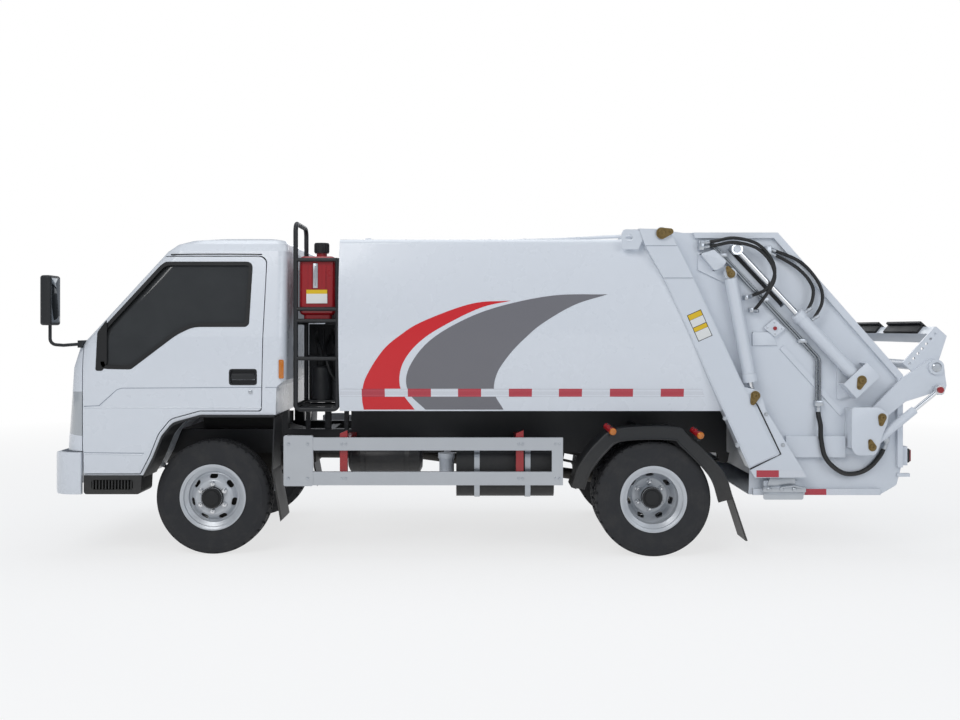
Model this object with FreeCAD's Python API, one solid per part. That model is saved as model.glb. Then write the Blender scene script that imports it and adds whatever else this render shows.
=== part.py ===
import FreeCAD
import Part
import math
import os
from FreeCAD import Vector

os.makedirs("parts", exist_ok=True)

# Millimetres. Places along the truck (x) are measured rearwards from the front axle,
# y runs from the driver's side (minus) to the far side (plus), z is the height above the road.

# Running gear
WHEELBASE = 2800.0
# Wheelbase on which the outlines behind the cab were measured
MEASURED_WHEELBASE = 2800.0
TYRE_RADIUS = 365.0
TYRE_WIDTH = 180.0
RIM_SEAT_RADIUS = 196.0
RIM_WALL = 7.0
DISC_RADIUS = RIM_SEAT_RADIUS - 26.0 - RIM_WALL
DISC_SHEET = 9.0
FRONT_WHEEL_Y = 690.0
REAR_WHEEL_Y = 765.0
TWIN_SPACING = 205.0
KINGPIN_Y = 575.0
STUD_CIRCLE_RADIUS = 87.0
STUD_COUNT = 6
HAND_HOLE_COUNT = 7
HUB_RADIUS = 66.0
SPINDLE_RADIUS = 24.0
DRUM_RADIUS = 150.0
REAR_DRUM_RADIUS = 116.0
AXLE_TUBE_RADIUS = 45.0

# Chassis
FUEL_TANK_FRONT_X = 1553.0 * WHEELBASE / MEASURED_WHEELBASE
FUEL_TANK_REAR_X = 2177.0 + WHEELBASE - MEASURED_WHEELBASE
RAIL_OUTER_Y = 350.0
RAIL_FLANGE = 65.0
RAIL_BOTTOM_Z = 600.0
RAIL_TOP_Z = 760.0
RAIL_SHEET = 8.0
RAIL_FRONT_X = -860.0
RAIL_REAR_X = 3380.0
SUBFRAME_FRONT_X = 830.0

# Cab
CAB_WALL = 45.0
CAB_HALF_WIDTH = 870.0
CAB_REAR_X = 478.0
CAB_FRONT_X = -931.0
CAB_ROOF_Z = 2025.0
CAB_SILL_Z = 519.0
CAB_CHIN_Z = 672.0
CAB_CORNER_RADIUS = 150.0
DOOR_FRONT_X = -794.0
DOOR_REAR_X = 347.0
DOOR_TOP_Z = 1900.0
DOOR_SEAM_Z = 927.0
DOOR_GAP = 6.0
ARCH_LIP = 27.0
GLASS_INSET = 14.0
GLASS_THICKNESS = 5.0
TUNNEL_FRONT_X = -866.0
TUNNEL_HALF_WIDTH = 430.0
TUNNEL_TOP_Z = 775.0
TILT_PIVOT_X = -945.0
TILT_PIVOT_Z = 640.0
BUMPER_FRONT_X = -1001.0
BUMPER_TOP_Z = 665.0
BUMPER_BOTTOM_Z = 402.0
BUMPER_HALF_WIDTH = 880.0
BUMPER_WALL = 30.0

# Refuse body
BODY_FRONT_X = 815.0
BODY_FLOOR_Z = 920.0
BODY_SHOULDER_Z = 1975.0
BODY_ROOF_Z = 2015.0
BODY_EDGE_Y = 812.0
BODY_BULGE_Y = 880.0
BODY_SHEET = 30.0
FLOOR_THICKNESS = 45.0
COLUMN_INNER_Y = 780.0
COLUMN_OUTER_Y = 885.0

# Tailgate
HINGE_X = 2843.0
HINGE_Z = 2039.0
HINGE_PIN_RADIUS = 22.0
GATE_OUTER_Y = 772.0
GATE_SHEET = 8.0
GATE_TOP_X = 3597.0
GATE_TOP_Z = 2053.0
GATE_LIP_X = 4392.0
GATE_LIP_Z = 1149.0
GATE_BOTTOM_Z = 385.0
GATE_TOE_X = 3418.0
MATING_GAP = 8.0

# Lift cylinders
LIFT_EYE_X = 3285.0
LIFT_EYE_Z = 1788.0
LIFT_BASE_X = 3429.0
LIFT_BASE_Z = 1022.0
LIFT_Y = 832.0
LIFT_BARREL_RADIUS = 40.0
LIFT_ROD_RADIUS = 20.0

# Packer slide and blade
SLIDE_PIN_X = 3326.0
SLIDE_PIN_Z = 1944.0
SLIDE_ANGLE = 47.0
SLIDE_STROKE = 440.0
SLIDE_Y = 835.0
SLIDE_CYLINDER_LENGTH = 1130.0
SLIDE_BARREL_RADIUS = 40.0
SLIDE_ROD_RADIUS = 18.0
BLADE_PIN_X = 3440.0
BLADE_PIN_Z = 1402.0
BLADE_LEAN = 15.0
BLADE_LENGTH = 620.0
BLADE_CLEARANCE = 20.0
PACKER_HALF_WIDTH = 730.0

# Bin lifter
LIFTER_PIVOT_X = 4224.0
LIFTER_PIVOT_Z = 885.0
LIFTER_BOSS_X = 4590.0
LIFTER_BOSS_Z = 1199.0
LIFTER_BASE_X = 4162.0
LIFTER_BASE_Z = 700.0
LIFTER_EYE_X = 4598.0
LIFTER_EYE_Z = 1057.0
LIFTER_ARM_Y = 800.0
LIFTER_ARM_THICKNESS = 20.0
LIFTER_CYLINDER_Y = 852.0
LIFTER_REAR_X = 4667.0

# Clearances
HOSE_RADIUS = 9.0
SEAT_GAP = 0.3
PIN_CLEARANCE = 0.4

REAR_AXLE_X = WHEELBASE
# Everything behind the load space moves with the rear axle
REAR_SHIFT = WHEELBASE - MEASURED_WHEELBASE
FRAME_MIDDLE_X = (BUMPER_FRONT_X + LIFTER_REAR_X + REAR_SHIFT) / 2


# General shapes

def box(x0, x1, y0, y1, z0, z1):
    return Part.makeBox(x1 - x0, y1 - y0, z1 - z0, Vector(x0, y0, z0))


def rod(start, end, radius):
    run = end - start
    return Part.makeCylinder(radius, run.Length, start, run)


def across(x, z, radius, y0, y1):
    return Part.makeCylinder(radius, y1 - y0, Vector(x, y0, z), Vector(0, 1, 0))


def eye(x, z, outer, inner, y0, y1):
    return across(x, z, outer, y0, y1).cut(across(x, z, inner, y0 - 1, y1 + 1))


def mirrored(shape):
    return shape.mirror(Vector(0, 0, 0), Vector(0, 1, 0))


def both_sides(*shapes):
    return list(shapes) + [mirrored(shape) for shape in shapes]


def fuse(shapes):
    return shapes[0].multiFuse(shapes[1:]).removeSplitter()


def rounded_wire(points, place):
    """Closed wire through corners (a, b) or (a, b, radius); place puts (a, b) in space."""
    corners = [tuple(point) + (0.0,) * (3 - len(point)) for point in points]
    cuts = []
    for index, (a, b, radius) in enumerate(corners):
        here = Vector(a, b, 0)
        back = Vector(corners[index - 1][0], corners[index - 1][1], 0) - here
        ahead_corner = corners[(index + 1) % len(corners)]
        ahead = Vector(ahead_corner[0], ahead_corner[1], 0) - here
        back.normalize()
        ahead.normalize()
        if radius <= 0:
            cuts.append((here, None, here))
            continue
        half = back.getAngle(ahead) / 2
        reach = radius / math.tan(half)
        middle = back + ahead
        middle.normalize()
        middle = here + middle * (radius / math.sin(half) - radius)
        cuts.append((here + back * reach, middle, here + ahead * reach))
    edges = []
    for index, (first, middle, last) in enumerate(cuts):
        previous = cuts[index - 1][2]
        if previous.distanceToPoint(first) > 1e-4:
            edges.append(Part.makeLine(place(previous.x, previous.y), place(first.x, first.y)))
        if middle is not None:
            arc = Part.Arc(place(first.x, first.y), place(middle.x, middle.y),
                           place(last.x, last.y))
            edges.append(arc.toShape())
    return Part.Wire(edges)


def side_prism(points, y0, y1):
    """Outline in (x, z), as thick as y0 to y1."""
    wire = rounded_wire(points, lambda a, b: Vector(a, y0, b))
    return Part.Face(wire).extrude(Vector(0, y1 - y0, 0))


def plan_prism(points, z0, z1):
    """Outline in (x, y), as tall as z0 to z1."""
    wire = rounded_wire(points, lambda a, b: Vector(a, b, z0))
    return Part.Face(wire).extrude(Vector(0, 0, z1 - z0))


def end_prism(points, x0, x1):
    """Outline in (y, z), as long as x0 to x1."""
    wire = rounded_wire(points, lambda a, b: Vector(x0, a, b))
    return Part.Face(wire).extrude(Vector(x1 - x0, 0, 0))


def turned(points, x, y, z):
    """Outline in (radius, width) turned about an axle through x, z; width is added to y."""
    wire = rounded_wire(points, lambda a, b: Vector(x + a, y + b, z))
    solid = Part.Face(wire).revolve(Vector(x, y, z), Vector(0, 1, 0), 360)
    if solid.Volume < 0:
        solid.reverse()
    return solid


def offset_line(points, distance, closed=False):
    """The line moved to its left by distance, corners mitred, radii kept."""
    plain = [(point[0], point[1]) for point in points]
    pairs = list(zip(plain, plain[1:]))
    if closed:
        pairs.append((plain[-1], plain[0]))
    normals = []
    for (a0, b0), (a1, b1) in pairs:
        length = math.hypot(a1 - a0, b1 - b0)
        normals.append((-(b1 - b0) / length, (a1 - a0) / length))
    moved = []
    for index, (a, b) in enumerate(plain):
        if closed:
            before = normals[index - 1]
            after = normals[index]
        else:
            before = normals[max(index - 1, 0)]
            after = normals[min(index, len(normals) - 1)]
        scale = distance / (1 + before[0] * after[0] + before[1] * after[1])
        shifted = (a + (before[0] + after[0]) * scale, b + (before[1] + after[1]) * scale)
        moved.append(shifted + tuple(points[index][2:]))
    return moved


def strip(points, thickness):
    """Closed outline of a plate that follows an open line and lies to its left."""
    near = list(points)
    far = offset_line(points, thickness)
    for line in (near, far):
        line[0] = line[0][:2]
        line[-1] = line[-1][:2]
    return near + far[::-1]


def pipe(points, radius, bend):
    """Round bar along straight runs joined by tangent bends."""
    vertices = [Vector(*point) for point in points]
    edges = []
    start = vertices[0]
    for index in range(1, len(vertices) - 1):
        corner = vertices[index]
        back = vertices[index - 1] - corner
        ahead = vertices[index + 1] - corner
        room = 0.45 * min(back.Length, ahead.Length)
        back.normalize()
        ahead.normalize()
        half = back.getAngle(ahead) / 2
        reach = min(bend / math.tan(half), room)
        turn = reach * math.tan(half)
        middle = back + ahead
        middle.normalize()
        middle = corner + middle * (turn / math.sin(half) - turn)
        first = corner + back * reach
        last = corner + ahead * reach
        edges.append(Part.makeLine(start, first))
        edges.append(Part.Arc(first, middle, last).toShape())
        start = last
    edges.append(Part.makeLine(start, vertices[-1]))
    path = Part.Wire(edges)
    run = vertices[1] - vertices[0]
    section = Part.Wire([Part.makeCircle(radius, vertices[0], run)])
    return path.makePipeShell([section], True, False)


def polar(x, z, angle, reach):
    """Point at reach from (x, z), angle in degrees from rearwards towards up."""
    turn = math.radians(angle)
    return x + reach * math.cos(turn), z + reach * math.sin(turn)


def bay(x):
    """Place between the axles that keeps its share of the wheelbase."""
    return x * WHEELBASE / MEASURED_WHEELBASE


def rearwards(*shapes):
    """The shapes, moved with the rear axle."""
    moved = [shape.copy() for shape in shapes]
    for shape in moved:
        shape.translate(Vector(REAR_SHIFT, 0, 0))
    return moved


def save(name, *shapes):
    """Writes one sub-part, moved so that the truck's middle is at x = 0."""
    solids = []
    for shape in shapes:
        solids.extend(shape.Solids)
    whole = Part.makeCompound(solids)
    whole.translate(Vector(-FRAME_MIDDLE_X, 0, 0))
    if not whole.isValid() or not solids:
        print("INVALID", name)
    whole.exportStep("parts/" + name + ".step")


# Chassis

def chassis_frame():
    """Two channel rails, cross members, subframe tubes and the brackets they carry."""
    parts = []
    rear = RAIL_REAR_X + REAR_SHIFT
    for side in (-1, 1):
        outer = side * RAIL_OUTER_Y
        inner = side * (RAIL_OUTER_Y - RAIL_FLANGE)
        web = side * (RAIL_OUTER_Y - RAIL_SHEET)
        low = min(outer, inner)
        high = max(outer, inner)
        parts.append(box(RAIL_FRONT_X, rear, min(outer, web), max(outer, web),
                         RAIL_BOTTOM_Z, RAIL_TOP_Z))
        for z in (RAIL_BOTTOM_Z, RAIL_TOP_Z - RAIL_SHEET):
            parts.append(box(RAIL_FRONT_X, rear, low, high, z, z + RAIL_SHEET))
        parts.append(box(SUBFRAME_FRONT_X, rear, low, high, RAIL_TOP_Z, BODY_FLOOR_Z))
        # Rear rest of the cab
        parts.append(box(330, 400, low, high, RAIL_TOP_Z, 900 - SEAT_GAP))
        # Arms that carry the fuel tank, battery box and guard stays
        for x in (FUEL_TANK_FRONT_X + 87, FUEL_TANK_REAR_X - 127):
            parts.append(box(x, x + 50, min(outer, side * 400), max(outer, side * 400),
                             RAIL_BOTTOM_Z, RAIL_BOTTOM_Z + 60))
        # Ears of the cab's tilt pin, on the rails' front ends
        ear = side_prism([(RAIL_FRONT_X, RAIL_BOTTOM_Z), (RAIL_FRONT_X, TILT_PIVOT_Z + 20),
                          (TILT_PIVOT_X - 14, TILT_PIVOT_Z + 20, 12),
                          (TILT_PIVOT_X - 14, TILT_PIVOT_Z - 24, 12)],
                         min(web, outer), max(web, outer))
        pin_start = min(side * (RAIL_OUTER_Y - 60), outer)
        pin_end = max(side * (RAIL_OUTER_Y - 60), outer)
        parts.append(ear)
        parts.append(across(TILT_PIVOT_X, TILT_PIVOT_Z, 11, pin_start, pin_end))
        # Bumper arms
        parts.append(box(BUMPER_FRONT_X + BUMPER_WALL + SEAT_GAP, RAIL_FRONT_X + 120,
                         min(side * 300, side * 330), max(side * 300, side * 330), 470,
                         RAIL_BOTTOM_Z))
    inside = RAIL_OUTER_Y - RAIL_SHEET
    for x in (RAIL_FRONT_X, 620, 1200, bay(1850), 2420 + REAR_SHIFT, 3200 + REAR_SHIFT):
        parts.append(box(x, x + 60, -inside, inside, RAIL_BOTTOM_Z + 20, RAIL_TOP_Z - 20))
    for x in (900, bay(1500), bay(2100), 2640 + REAR_SHIFT, 3250 + REAR_SHIFT):
        parts.append(box(x, x + 60, -inside, inside, RAIL_TOP_Z + 20, BODY_FLOOR_Z - 20))
    return fuse(parts)


def front_axle():
    """Forged beam with a boss for each king pin."""
    beam = box(-28, 28, -KINGPIN_Y, KINGPIN_Y, 305, 372)
    beam = beam.cut(box(-40, -8, -KINGPIN_Y + 60, KINGPIN_Y - 60, 318, 359))
    beam = beam.cut(box(8, 40, -KINGPIN_Y + 60, KINGPIN_Y - 60, 318, 359))
    pieces = [beam]
    for side in (-1, 1):
        foot = Vector(0, side * KINGPIN_Y, 300)
        pieces.append(Part.makeCylinder(36, 130, foot))
        pieces.append(box(-45, 45, side * 320 - 34, side * 320 + 34, 360, 380))
    axle = fuse(pieces)
    for side in (-1, 1):
        bore = Part.makeCylinder(18 + PIN_CLEARANCE, 400, Vector(0, side * KINGPIN_Y, 200))
        axle = axle.cut(bore)
    return axle


def knuckle():
    """Driver's side knuckle: yoke, king pin, backing drum and spindle."""
    y = -KINGPIN_Y
    z = TYRE_RADIUS
    face = y - 48
    pieces = [
        Part.makeCylinder(18, 230, Vector(0, y, z - 115)),
        Part.makeCylinder(34, 38, Vector(0, y, z + 70.4)),
        Part.makeCylinder(34, 44, Vector(0, y, z - 115)),
        box(-32, 32, face - 10, y, z + 70.4, z + 108),
        box(-32, 32, face - 10, y, z - 115, z - 71),
        box(-40, 40, face - 14, face + 6, z - 115, z + 108),
        across(0, z, DRUM_RADIUS, face - 62, face - 10),
        across(0, z, SPINDLE_RADIUS, -FRONT_WHEEL_Y - 60, face - 10),
        # Steering arm towards the rear
        side_prism([(-20, z - 112), (150, z - 100, 8), (150, z - 78, 8), (-20, z - 76)],
                   y - 8, y + 14),
    ]
    return fuse(pieces)


def rear_axle():
    """Banjo axle with spindles and propeller shaft."""
    x = REAR_AXLE_X
    z = TYRE_RADIUS
    inner_y = REAR_WHEEL_Y - TWIN_SPACING - TYRE_WIDTH / 2
    pieces = [
        across(x, z, AXLE_TUBE_RADIUS, -inner_y, inner_y),
        turned([(0, -130), (70, -130, 20), (150, -55, 40), (150, 55, 40), (70, 130, 20),
                (0, 130)], x, 0, z),
        Part.makeCone(95, 55, 150, Vector(x - 120, 0, z), Vector(-1, 0, 0.12)),
        rod(Vector(x - 250, 0, z + 16), Vector(1250, 0, 555), 38),
        rod(Vector(1250, 0, 555), Vector(560 + SEAT_GAP, 0, 560), 38),
        box(1215, 1255, -55, 55, 515, RAIL_BOTTOM_Z + 20),
    ]
    for side in (-1, 1):
        end = side * (REAR_WHEEL_Y - 20)
        start = side * inner_y
        pieces.append(across(x, z, SPINDLE_RADIUS, min(start, end), max(start, end)))
        plate = side * (inner_y - 16)
        pieces.append(across(x, z, REAR_DRUM_RADIUS, min(plate, plate + side * 10),
                             max(plate, plate + side * 10)))
        pieces.append(box(x - 60, x + 60, side * 318 - 34, side * 318 + 34, z, z + 62))
    return fuse(pieces)


def leaf_spring(x, seat_z, eye_z, half_length, leaves):
    """Pack of curved leaves with its hangers, on the driver's side."""
    y0 = -RAIL_OUTER_Y + 2
    y1 = y0 + 60
    pieces = []
    thickness = 11.0
    for leaf in range(leaves):
        reach = half_length * (1 - 0.16 * leaf)
        rise = (eye_z - seat_z - leaves * thickness) * (reach / half_length) ** 2
        low = seat_z + (leaves - 1 - leaf) * thickness
        top = low + thickness
        lower_arc = Part.Arc(Vector(x - reach, y0, low + rise), Vector(x, y0, low),
                             Vector(x + reach, y0, low + rise)).toShape()
        upper_arc = Part.Arc(Vector(x + reach, y0, top + rise), Vector(x, y0, top),
                             Vector(x - reach, y0, top + rise)).toShape()
        wire = Part.Wire([
            lower_arc,
            Part.makeLine(Vector(x + reach, y0, low + rise), Vector(x + reach, y0, top + rise)),
            upper_arc,
            Part.makeLine(Vector(x - reach, y0, top + rise), Vector(x - reach, y0, low + rise)),
        ])
        pieces.append(Part.Face(wire).extrude(Vector(0, y1 - y0, 0)))
    for end in (-1, 1):
        pin_x = x + end * half_length
        pieces.append(across(pin_x, eye_z - 6, 20, y0, y1))
        pieces.append(side_prism([(pin_x - 26, eye_z - 30, 20), (pin_x + 26, eye_z - 30, 20),
                                  (pin_x + 40, RAIL_BOTTOM_Z), (pin_x - 40, RAIL_BOTTOM_Z)],
                                 y0, y0 + 12))
        pieces.append(side_prism([(pin_x - 26, eye_z - 30, 20), (pin_x + 26, eye_z - 30, 20),
                                  (pin_x + 40, RAIL_BOTTOM_Z), (pin_x - 40, RAIL_BOTTOM_Z)],
                                 y1 - 12, y1))
    pieces.append(box(x - 50, x + 50, y0, y1, seat_z, seat_z + leaves * thickness + 8))
    return fuse(pieces)


def engine_block():
    """Engine and gearbox as one plain mass between the rails."""
    block = box(-200, 330, -250, 250, 430, 840)
    sump = box(-150, 200, -160, 160, 390, 430)
    gearbox = side_prism([(330, 480), (560, 510), (560, 690), (330, 760)], -150, 150)
    mounts = [box(60, 140, -RAIL_OUTER_Y + RAIL_SHEET, -250, 640, 700),
              box(60, 140, 250, RAIL_OUTER_Y - RAIL_SHEET, 640, 700)]
    return fuse([block, sump, gearbox] + mounts)


def exhaust():
    """Silencer and pipes on the far side, hung from the rail."""
    start = 800.0
    end = bay(1280)
    silencer = Part.makeCylinder(88, end - start, Vector(start, 500, 560), Vector(1, 0, 0))
    front = pipe([(330 + SEAT_GAP, 200, 555), (590, 200, 552), (690, 440, 550), (750, 500, 560),
                  (810, 500, 560)], 26, 120)
    tail = pipe([(end - 10, 500, 560), (end + 70, 500, 545), (end + 160, 560, 500),
                 (end + 210, 800, 440)], 24, 120)
    hangers = [box(x, x + 30, RAIL_OUTER_Y, 450, 600, 640) for x in (start + 80, end - 130)]
    return fuse([silencer, front, tail] + hangers)


def fuel_tank():
    """Moulded tank with grooves round it, on the driver's side."""
    x0 = FUEL_TANK_FRONT_X
    x1 = FUEL_TANK_REAR_X
    pitch = (x1 - x0 - 84) / 6
    outline = [(-400 + SEAT_GAP - 0.6, 365, 50), (-770, 365, 70), (-770, 676, 60),
               (-400 + SEAT_GAP - 0.6, 676, 30)]
    tank = end_prism(outline, x0, x1)
    groove = end_prism(offset_line(outline, -40, True), 0, 26)
    core = end_prism(offset_line(outline, 10, True), -1, 27)
    band = groove.cut(core)
    for index in range(6):
        ring = band.copy()
        ring.translate(Vector(x0 + 70 + index * pitch, 0, 0))
        tank = tank.cut(ring)
    filler = Part.makeCylinder(38, 45, Vector(x0 + 60, -690, 660), Vector(0, -0.35, 1))
    return fuse([tank, filler])


def fuel_filter():
    """White canister on its bracket."""
    x = FUEL_TANK_FRONT_X - 65
    y = -640.0
    can = Part.makeCylinder(48, 150, Vector(x, y, 450))
    head = Part.makeCylinder(56, 34, Vector(x, y, 600))
    arm = box(x - 20, x + 20, y, -RAIL_OUTER_Y - SEAT_GAP, 612, 630)
    return fuse([can, head, arm])


def battery_box():
    """Lidded box on the far side."""
    x0 = FUEL_TANK_FRONT_X + 37
    x1 = FUEL_TANK_REAR_X - 37
    pitch = (x1 - x0 - 100) / 5
    lid = box(x0, x1, 400 + SEAT_GAP, 780, 650, 690)
    body = box(x0 + 10, x1 - 10, 405, 770, 480, 650)
    slots = []
    for index in range(5):
        start = x0 + 50 + pitch * index
        slots.append(box(start, start + 20, 760, 790, 520, 620))
    foot = box(x0 + 110, x1 - 140, 400 + SEAT_GAP, 410, 610, 650)
    shape = fuse([body, lid, foot])
    for slot in slots:
        shape = shape.cut(slot)
    return shape


def bumper():
    """Hollow front bumper that wraps round to the cab's step."""
    rear_x = -800.0
    radius = 150.0
    outline = [(BUMPER_FRONT_X, -BUMPER_HALF_WIDTH, radius), (rear_x, -BUMPER_HALF_WIDTH),
               (rear_x, BUMPER_HALF_WIDTH), (BUMPER_FRONT_X, BUMPER_HALF_WIDTH, radius)]
    shell = plan_prism(outline, BUMPER_BOTTOM_Z, BUMPER_TOP_Z)
    section = [(BUMPER_FRONT_X + 26, BUMPER_BOTTOM_Z, 20), (rear_x + 20, BUMPER_BOTTOM_Z),
               (rear_x + 20, BUMPER_TOP_Z), (BUMPER_FRONT_X + 18, BUMPER_TOP_Z, 18),
               (BUMPER_FRONT_X, BUMPER_TOP_Z - 70, 40), (BUMPER_FRONT_X, BUMPER_BOTTOM_Z + 60, 40)]
    shell = shell.common(side_prism(section, -BUMPER_HALF_WIDTH - 1, BUMPER_HALF_WIDTH + 1))
    inner = [(BUMPER_FRONT_X + BUMPER_WALL, -BUMPER_HALF_WIDTH + BUMPER_WALL, radius - BUMPER_WALL),
             (rear_x + 1, -BUMPER_HALF_WIDTH + BUMPER_WALL),
             (rear_x + 1, BUMPER_HALF_WIDTH - BUMPER_WALL),
             (BUMPER_FRONT_X + BUMPER_WALL, BUMPER_HALF_WIDTH - BUMPER_WALL, radius - BUMPER_WALL)]
    shell = shell.cut(plan_prism(inner, BUMPER_BOTTOM_Z - 1, BUMPER_TOP_Z + 1))
    intake = end_prism([(-330, 450, 20), (330, 450, 20), (330, 520, 20), (-330, 520, 20)],
                       BUMPER_FRONT_X - 5, BUMPER_FRONT_X + BUMPER_WALL + 5)
    lamp = end_prism([(-640, 470, 25), (-500, 470, 25), (-500, 550, 25), (-640, 550, 25)],
                     BUMPER_FRONT_X - 5, BUMPER_FRONT_X + 14)
    return shell.cut(intake).cut(lamp).cut(mirrored(lamp))


def side_guard():
    """Driver's side guard: two rails, front plate, rear upright."""
    y0 = -866.0
    y1 = -842.0
    front = 470.0
    rear = 2227.0 + REAR_SHIFT
    pieces = [
        box(front + 20, rear, y0, y1, 676, 757),
        box(front + 20, rear, y0, y1, 457, 542),
        box(rear - 70, rear, y0, y1, 457, 757),
        side_prism([(front, 452, 12), (front + 185, 452, 12), (front + 185, 770, 12),
                    (front, 770, 12)], y0 - 4, y1),
        # The front plate turns inwards round the corner
        box(front, front + 8, y0 + 4, -740, 460, 762),
    ]
    return fuse(pieces)


def guard_stays():
    """Posts behind the guard with arms to the rail, driver's side."""
    shapes = []
    for x in (820, bay(1932)):
        post = side_prism([(x, 470), (x + 48, 470), (x + 48, 800), (x, 780)],
                          -842 + SEAT_GAP, -812)
        arm = box(x, x + 48, -813, -RAIL_OUTER_Y - SEAT_GAP, 690, 740)
        shapes.append(fuse([post, arm]))
    return shapes


def mudguard():
    """Arched rear mudguard with its lip, stay and rubber flap, driver's side."""
    line = [(3297, 375), (3227, 555, 60), (3017, 768, 70), (2928, 825, 50), (2571, 814, 60),
            (2438, 728, 60), (2329, 588, 60), (2278, 445)]
    outer = -872.0
    inner = -640.0
    sheet = side_prism(strip(line, 8), outer, inner)
    lip = side_prism(strip(line, 34), outer, outer + 10)
    flap = side_prism([(3290, 385), (3300, 380), (3392, 105), (3380, 103)], outer + 20, inner)
    stay = box(2700, 2740, inner - 4, -RAIL_OUTER_Y - SEAT_GAP, 780, 812)
    return fuse([sheet, lip, flap, stay])


def front_flap():
    """Liner and rubber flap behind the front wheel, driver's side."""
    liner = side_prism([(392, 540), (400, 540), (412, 880), (404, 880)], -850, -600)
    flap = side_prism([(390, 560), (399, 560), (458, 240), (446, 225)], -850, -600)
    arm = box(400, 430, -610, -RAIL_OUTER_Y - SEAT_GAP, 640, 680)
    return fuse([liner, flap, arm])


def marker_lamps():
    """Amber side marker lamps on tubes above the mudguards, driver's side."""
    lamps = []
    for x, z in ((2546, 778), (3076, 694)):
        lamp = side_prism([(x - 34, z - 20, 12), (x + 34, z - 34, 12), (x + 40, z + 4, 12),
                           (x - 26, z + 20, 12)], -905, -872 - SEAT_GAP)
        lamps.append(lamp)
    return lamps


# Refuse body

COLUMN_FRONT = [(2702, 2070), (2743, 1961, 60), (2858, 1758, 60), (3151, 1105), (3393, 569)]
COLUMN_REAR = [(3578, 650), (3431, 949, 60), (3348, 1106, 60), (3042, 1763), (2947, 1955),
               (2887, 2066)]


def column_front_x(z):
    """Front line of the rear post at a height below its bend."""
    high_x, high_z = COLUMN_FRONT[-2]
    low_x, low_z = COLUMN_FRONT[-1]
    return high_x + (high_z - z) * (low_x - high_x) / (high_z - low_z)


def body_section(inset):
    """Outline of the body in (y, z) as a wire at x = 0: bowed sides, flat floor, crowned roof."""
    low = BODY_FLOOR_Z + (FLOOR_THICKNESS if inset else 0)
    edge = BODY_EDGE_Y - inset
    bulge = BODY_BULGE_Y - inset
    shoulder = BODY_SHOULDER_Z - inset / 2
    roof = BODY_ROOF_Z - inset
    middle_z = (low + shoulder) / 2
    turn_y = edge - 42
    corner = 0.29 * 42

    def spot(y, z):
        return Vector(0, y, z)

    edges = [
        Part.makeLine(spot(edge, low), spot(-edge, low)),
        Part.Arc(spot(-edge, low), spot(-bulge, middle_z), spot(-edge, shoulder)).toShape(),
        Part.Arc(spot(-edge, shoulder), spot(-edge + corner, roof - 16),
                 spot(-turn_y, roof - 4)).toShape(),
        Part.Arc(spot(-turn_y, roof - 4), spot(0, roof + 8), spot(turn_y, roof - 4)).toShape(),
        Part.Arc(spot(turn_y, roof - 4), spot(edge - corner, roof - 16),
                 spot(edge, shoulder)).toShape(),
        Part.Arc(spot(edge, shoulder), spot(bulge, middle_z), spot(edge, low)).toShape(),
    ]
    return Part.Wire(edges)


def body_shell():
    """Load space: bowed sides, roof, front wall and floor, open to the rear."""
    length = 3000 + REAR_SHIFT
    outer = Part.Face(body_section(0)).extrude(Vector(length, 0, 0))
    outer.translate(Vector(BODY_FRONT_X, 0, 0))
    inner = Part.Face(body_section(BODY_SHEET)).extrude(Vector(length, 0, 0))
    inner.translate(Vector(BODY_FRONT_X + BODY_SHEET, 0, 0))
    rear = [(2653, 2200)] + COLUMN_FRONT[:-1] + [(column_front_x(800), 800)]
    rear = [(point[0] + REAR_SHIFT - SEAT_GAP,) + point[1:] for point in rear]
    keep = side_prism([(BODY_FRONT_X - 1, 800), (BODY_FRONT_X - 1, 2200)] + rear, -1000, 1000)
    return outer.common(keep).cut(inner)


def column():
    """Leaning rear post, driver's side, with hinge boss, lug and lower gusset."""
    post = side_prism(COLUMN_FRONT + COLUMN_REAR, -COLUMN_OUTER_Y, -COLUMN_INNER_Y)
    gusset = side_prism([(3340, 1080), (3431, 1062, 20), (3478, 1010, 30), (3500, 930, 30),
                         (3762, 506, 12), (3430, 506, 12), (3393, 569)],
                        -COLUMN_OUTER_Y + 6, -COLUMN_OUTER_Y + 20)
    boss = across(HINGE_X, HINGE_Z, 40, -COLUMN_OUTER_Y - 6, -COLUMN_INNER_Y)
    pin = across(HINGE_X, HINGE_Z, HINGE_PIN_RADIUS, -COLUMN_OUTER_Y - 14, -722)
    lug = side_prism([(2597, 1940, 10), (2700, 1940), (2745, 2040), (2690, 2066, 10),
                      (2597, 2066, 25)], -COLUMN_OUTER_Y + 12, -COLUMN_OUTER_Y + 30)
    lug = lug.cut(across(2642, 2012, 22, -1000, -700))
    base_pin = across(LIFT_BASE_X, LIFT_BASE_Z, 34, -COLUMN_OUTER_Y - 8, -LIFT_Y - 30)
    return fuse([post, gusset, boss, pin, lug, base_pin])


def rear_columns():
    """Both posts with the header and the sill between them."""
    floor_top = BODY_FLOOR_Z + FLOOR_THICKNESS
    header = side_prism([(2704, 2066), (2747, 1958), (2800, 1958), (2788, 2066)],
                        -COLUMN_INNER_Y, COLUMN_INNER_Y)
    sill = side_prism([(column_front_x(BODY_FLOOR_Z), BODY_FLOOR_Z), (3442, BODY_FLOOR_Z),
                       (3421, floor_top), (column_front_x(floor_top), floor_top)],
                      -COLUMN_INNER_Y, COLUMN_INNER_Y)
    return [column(), mirrored(column()), header, sill]


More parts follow.
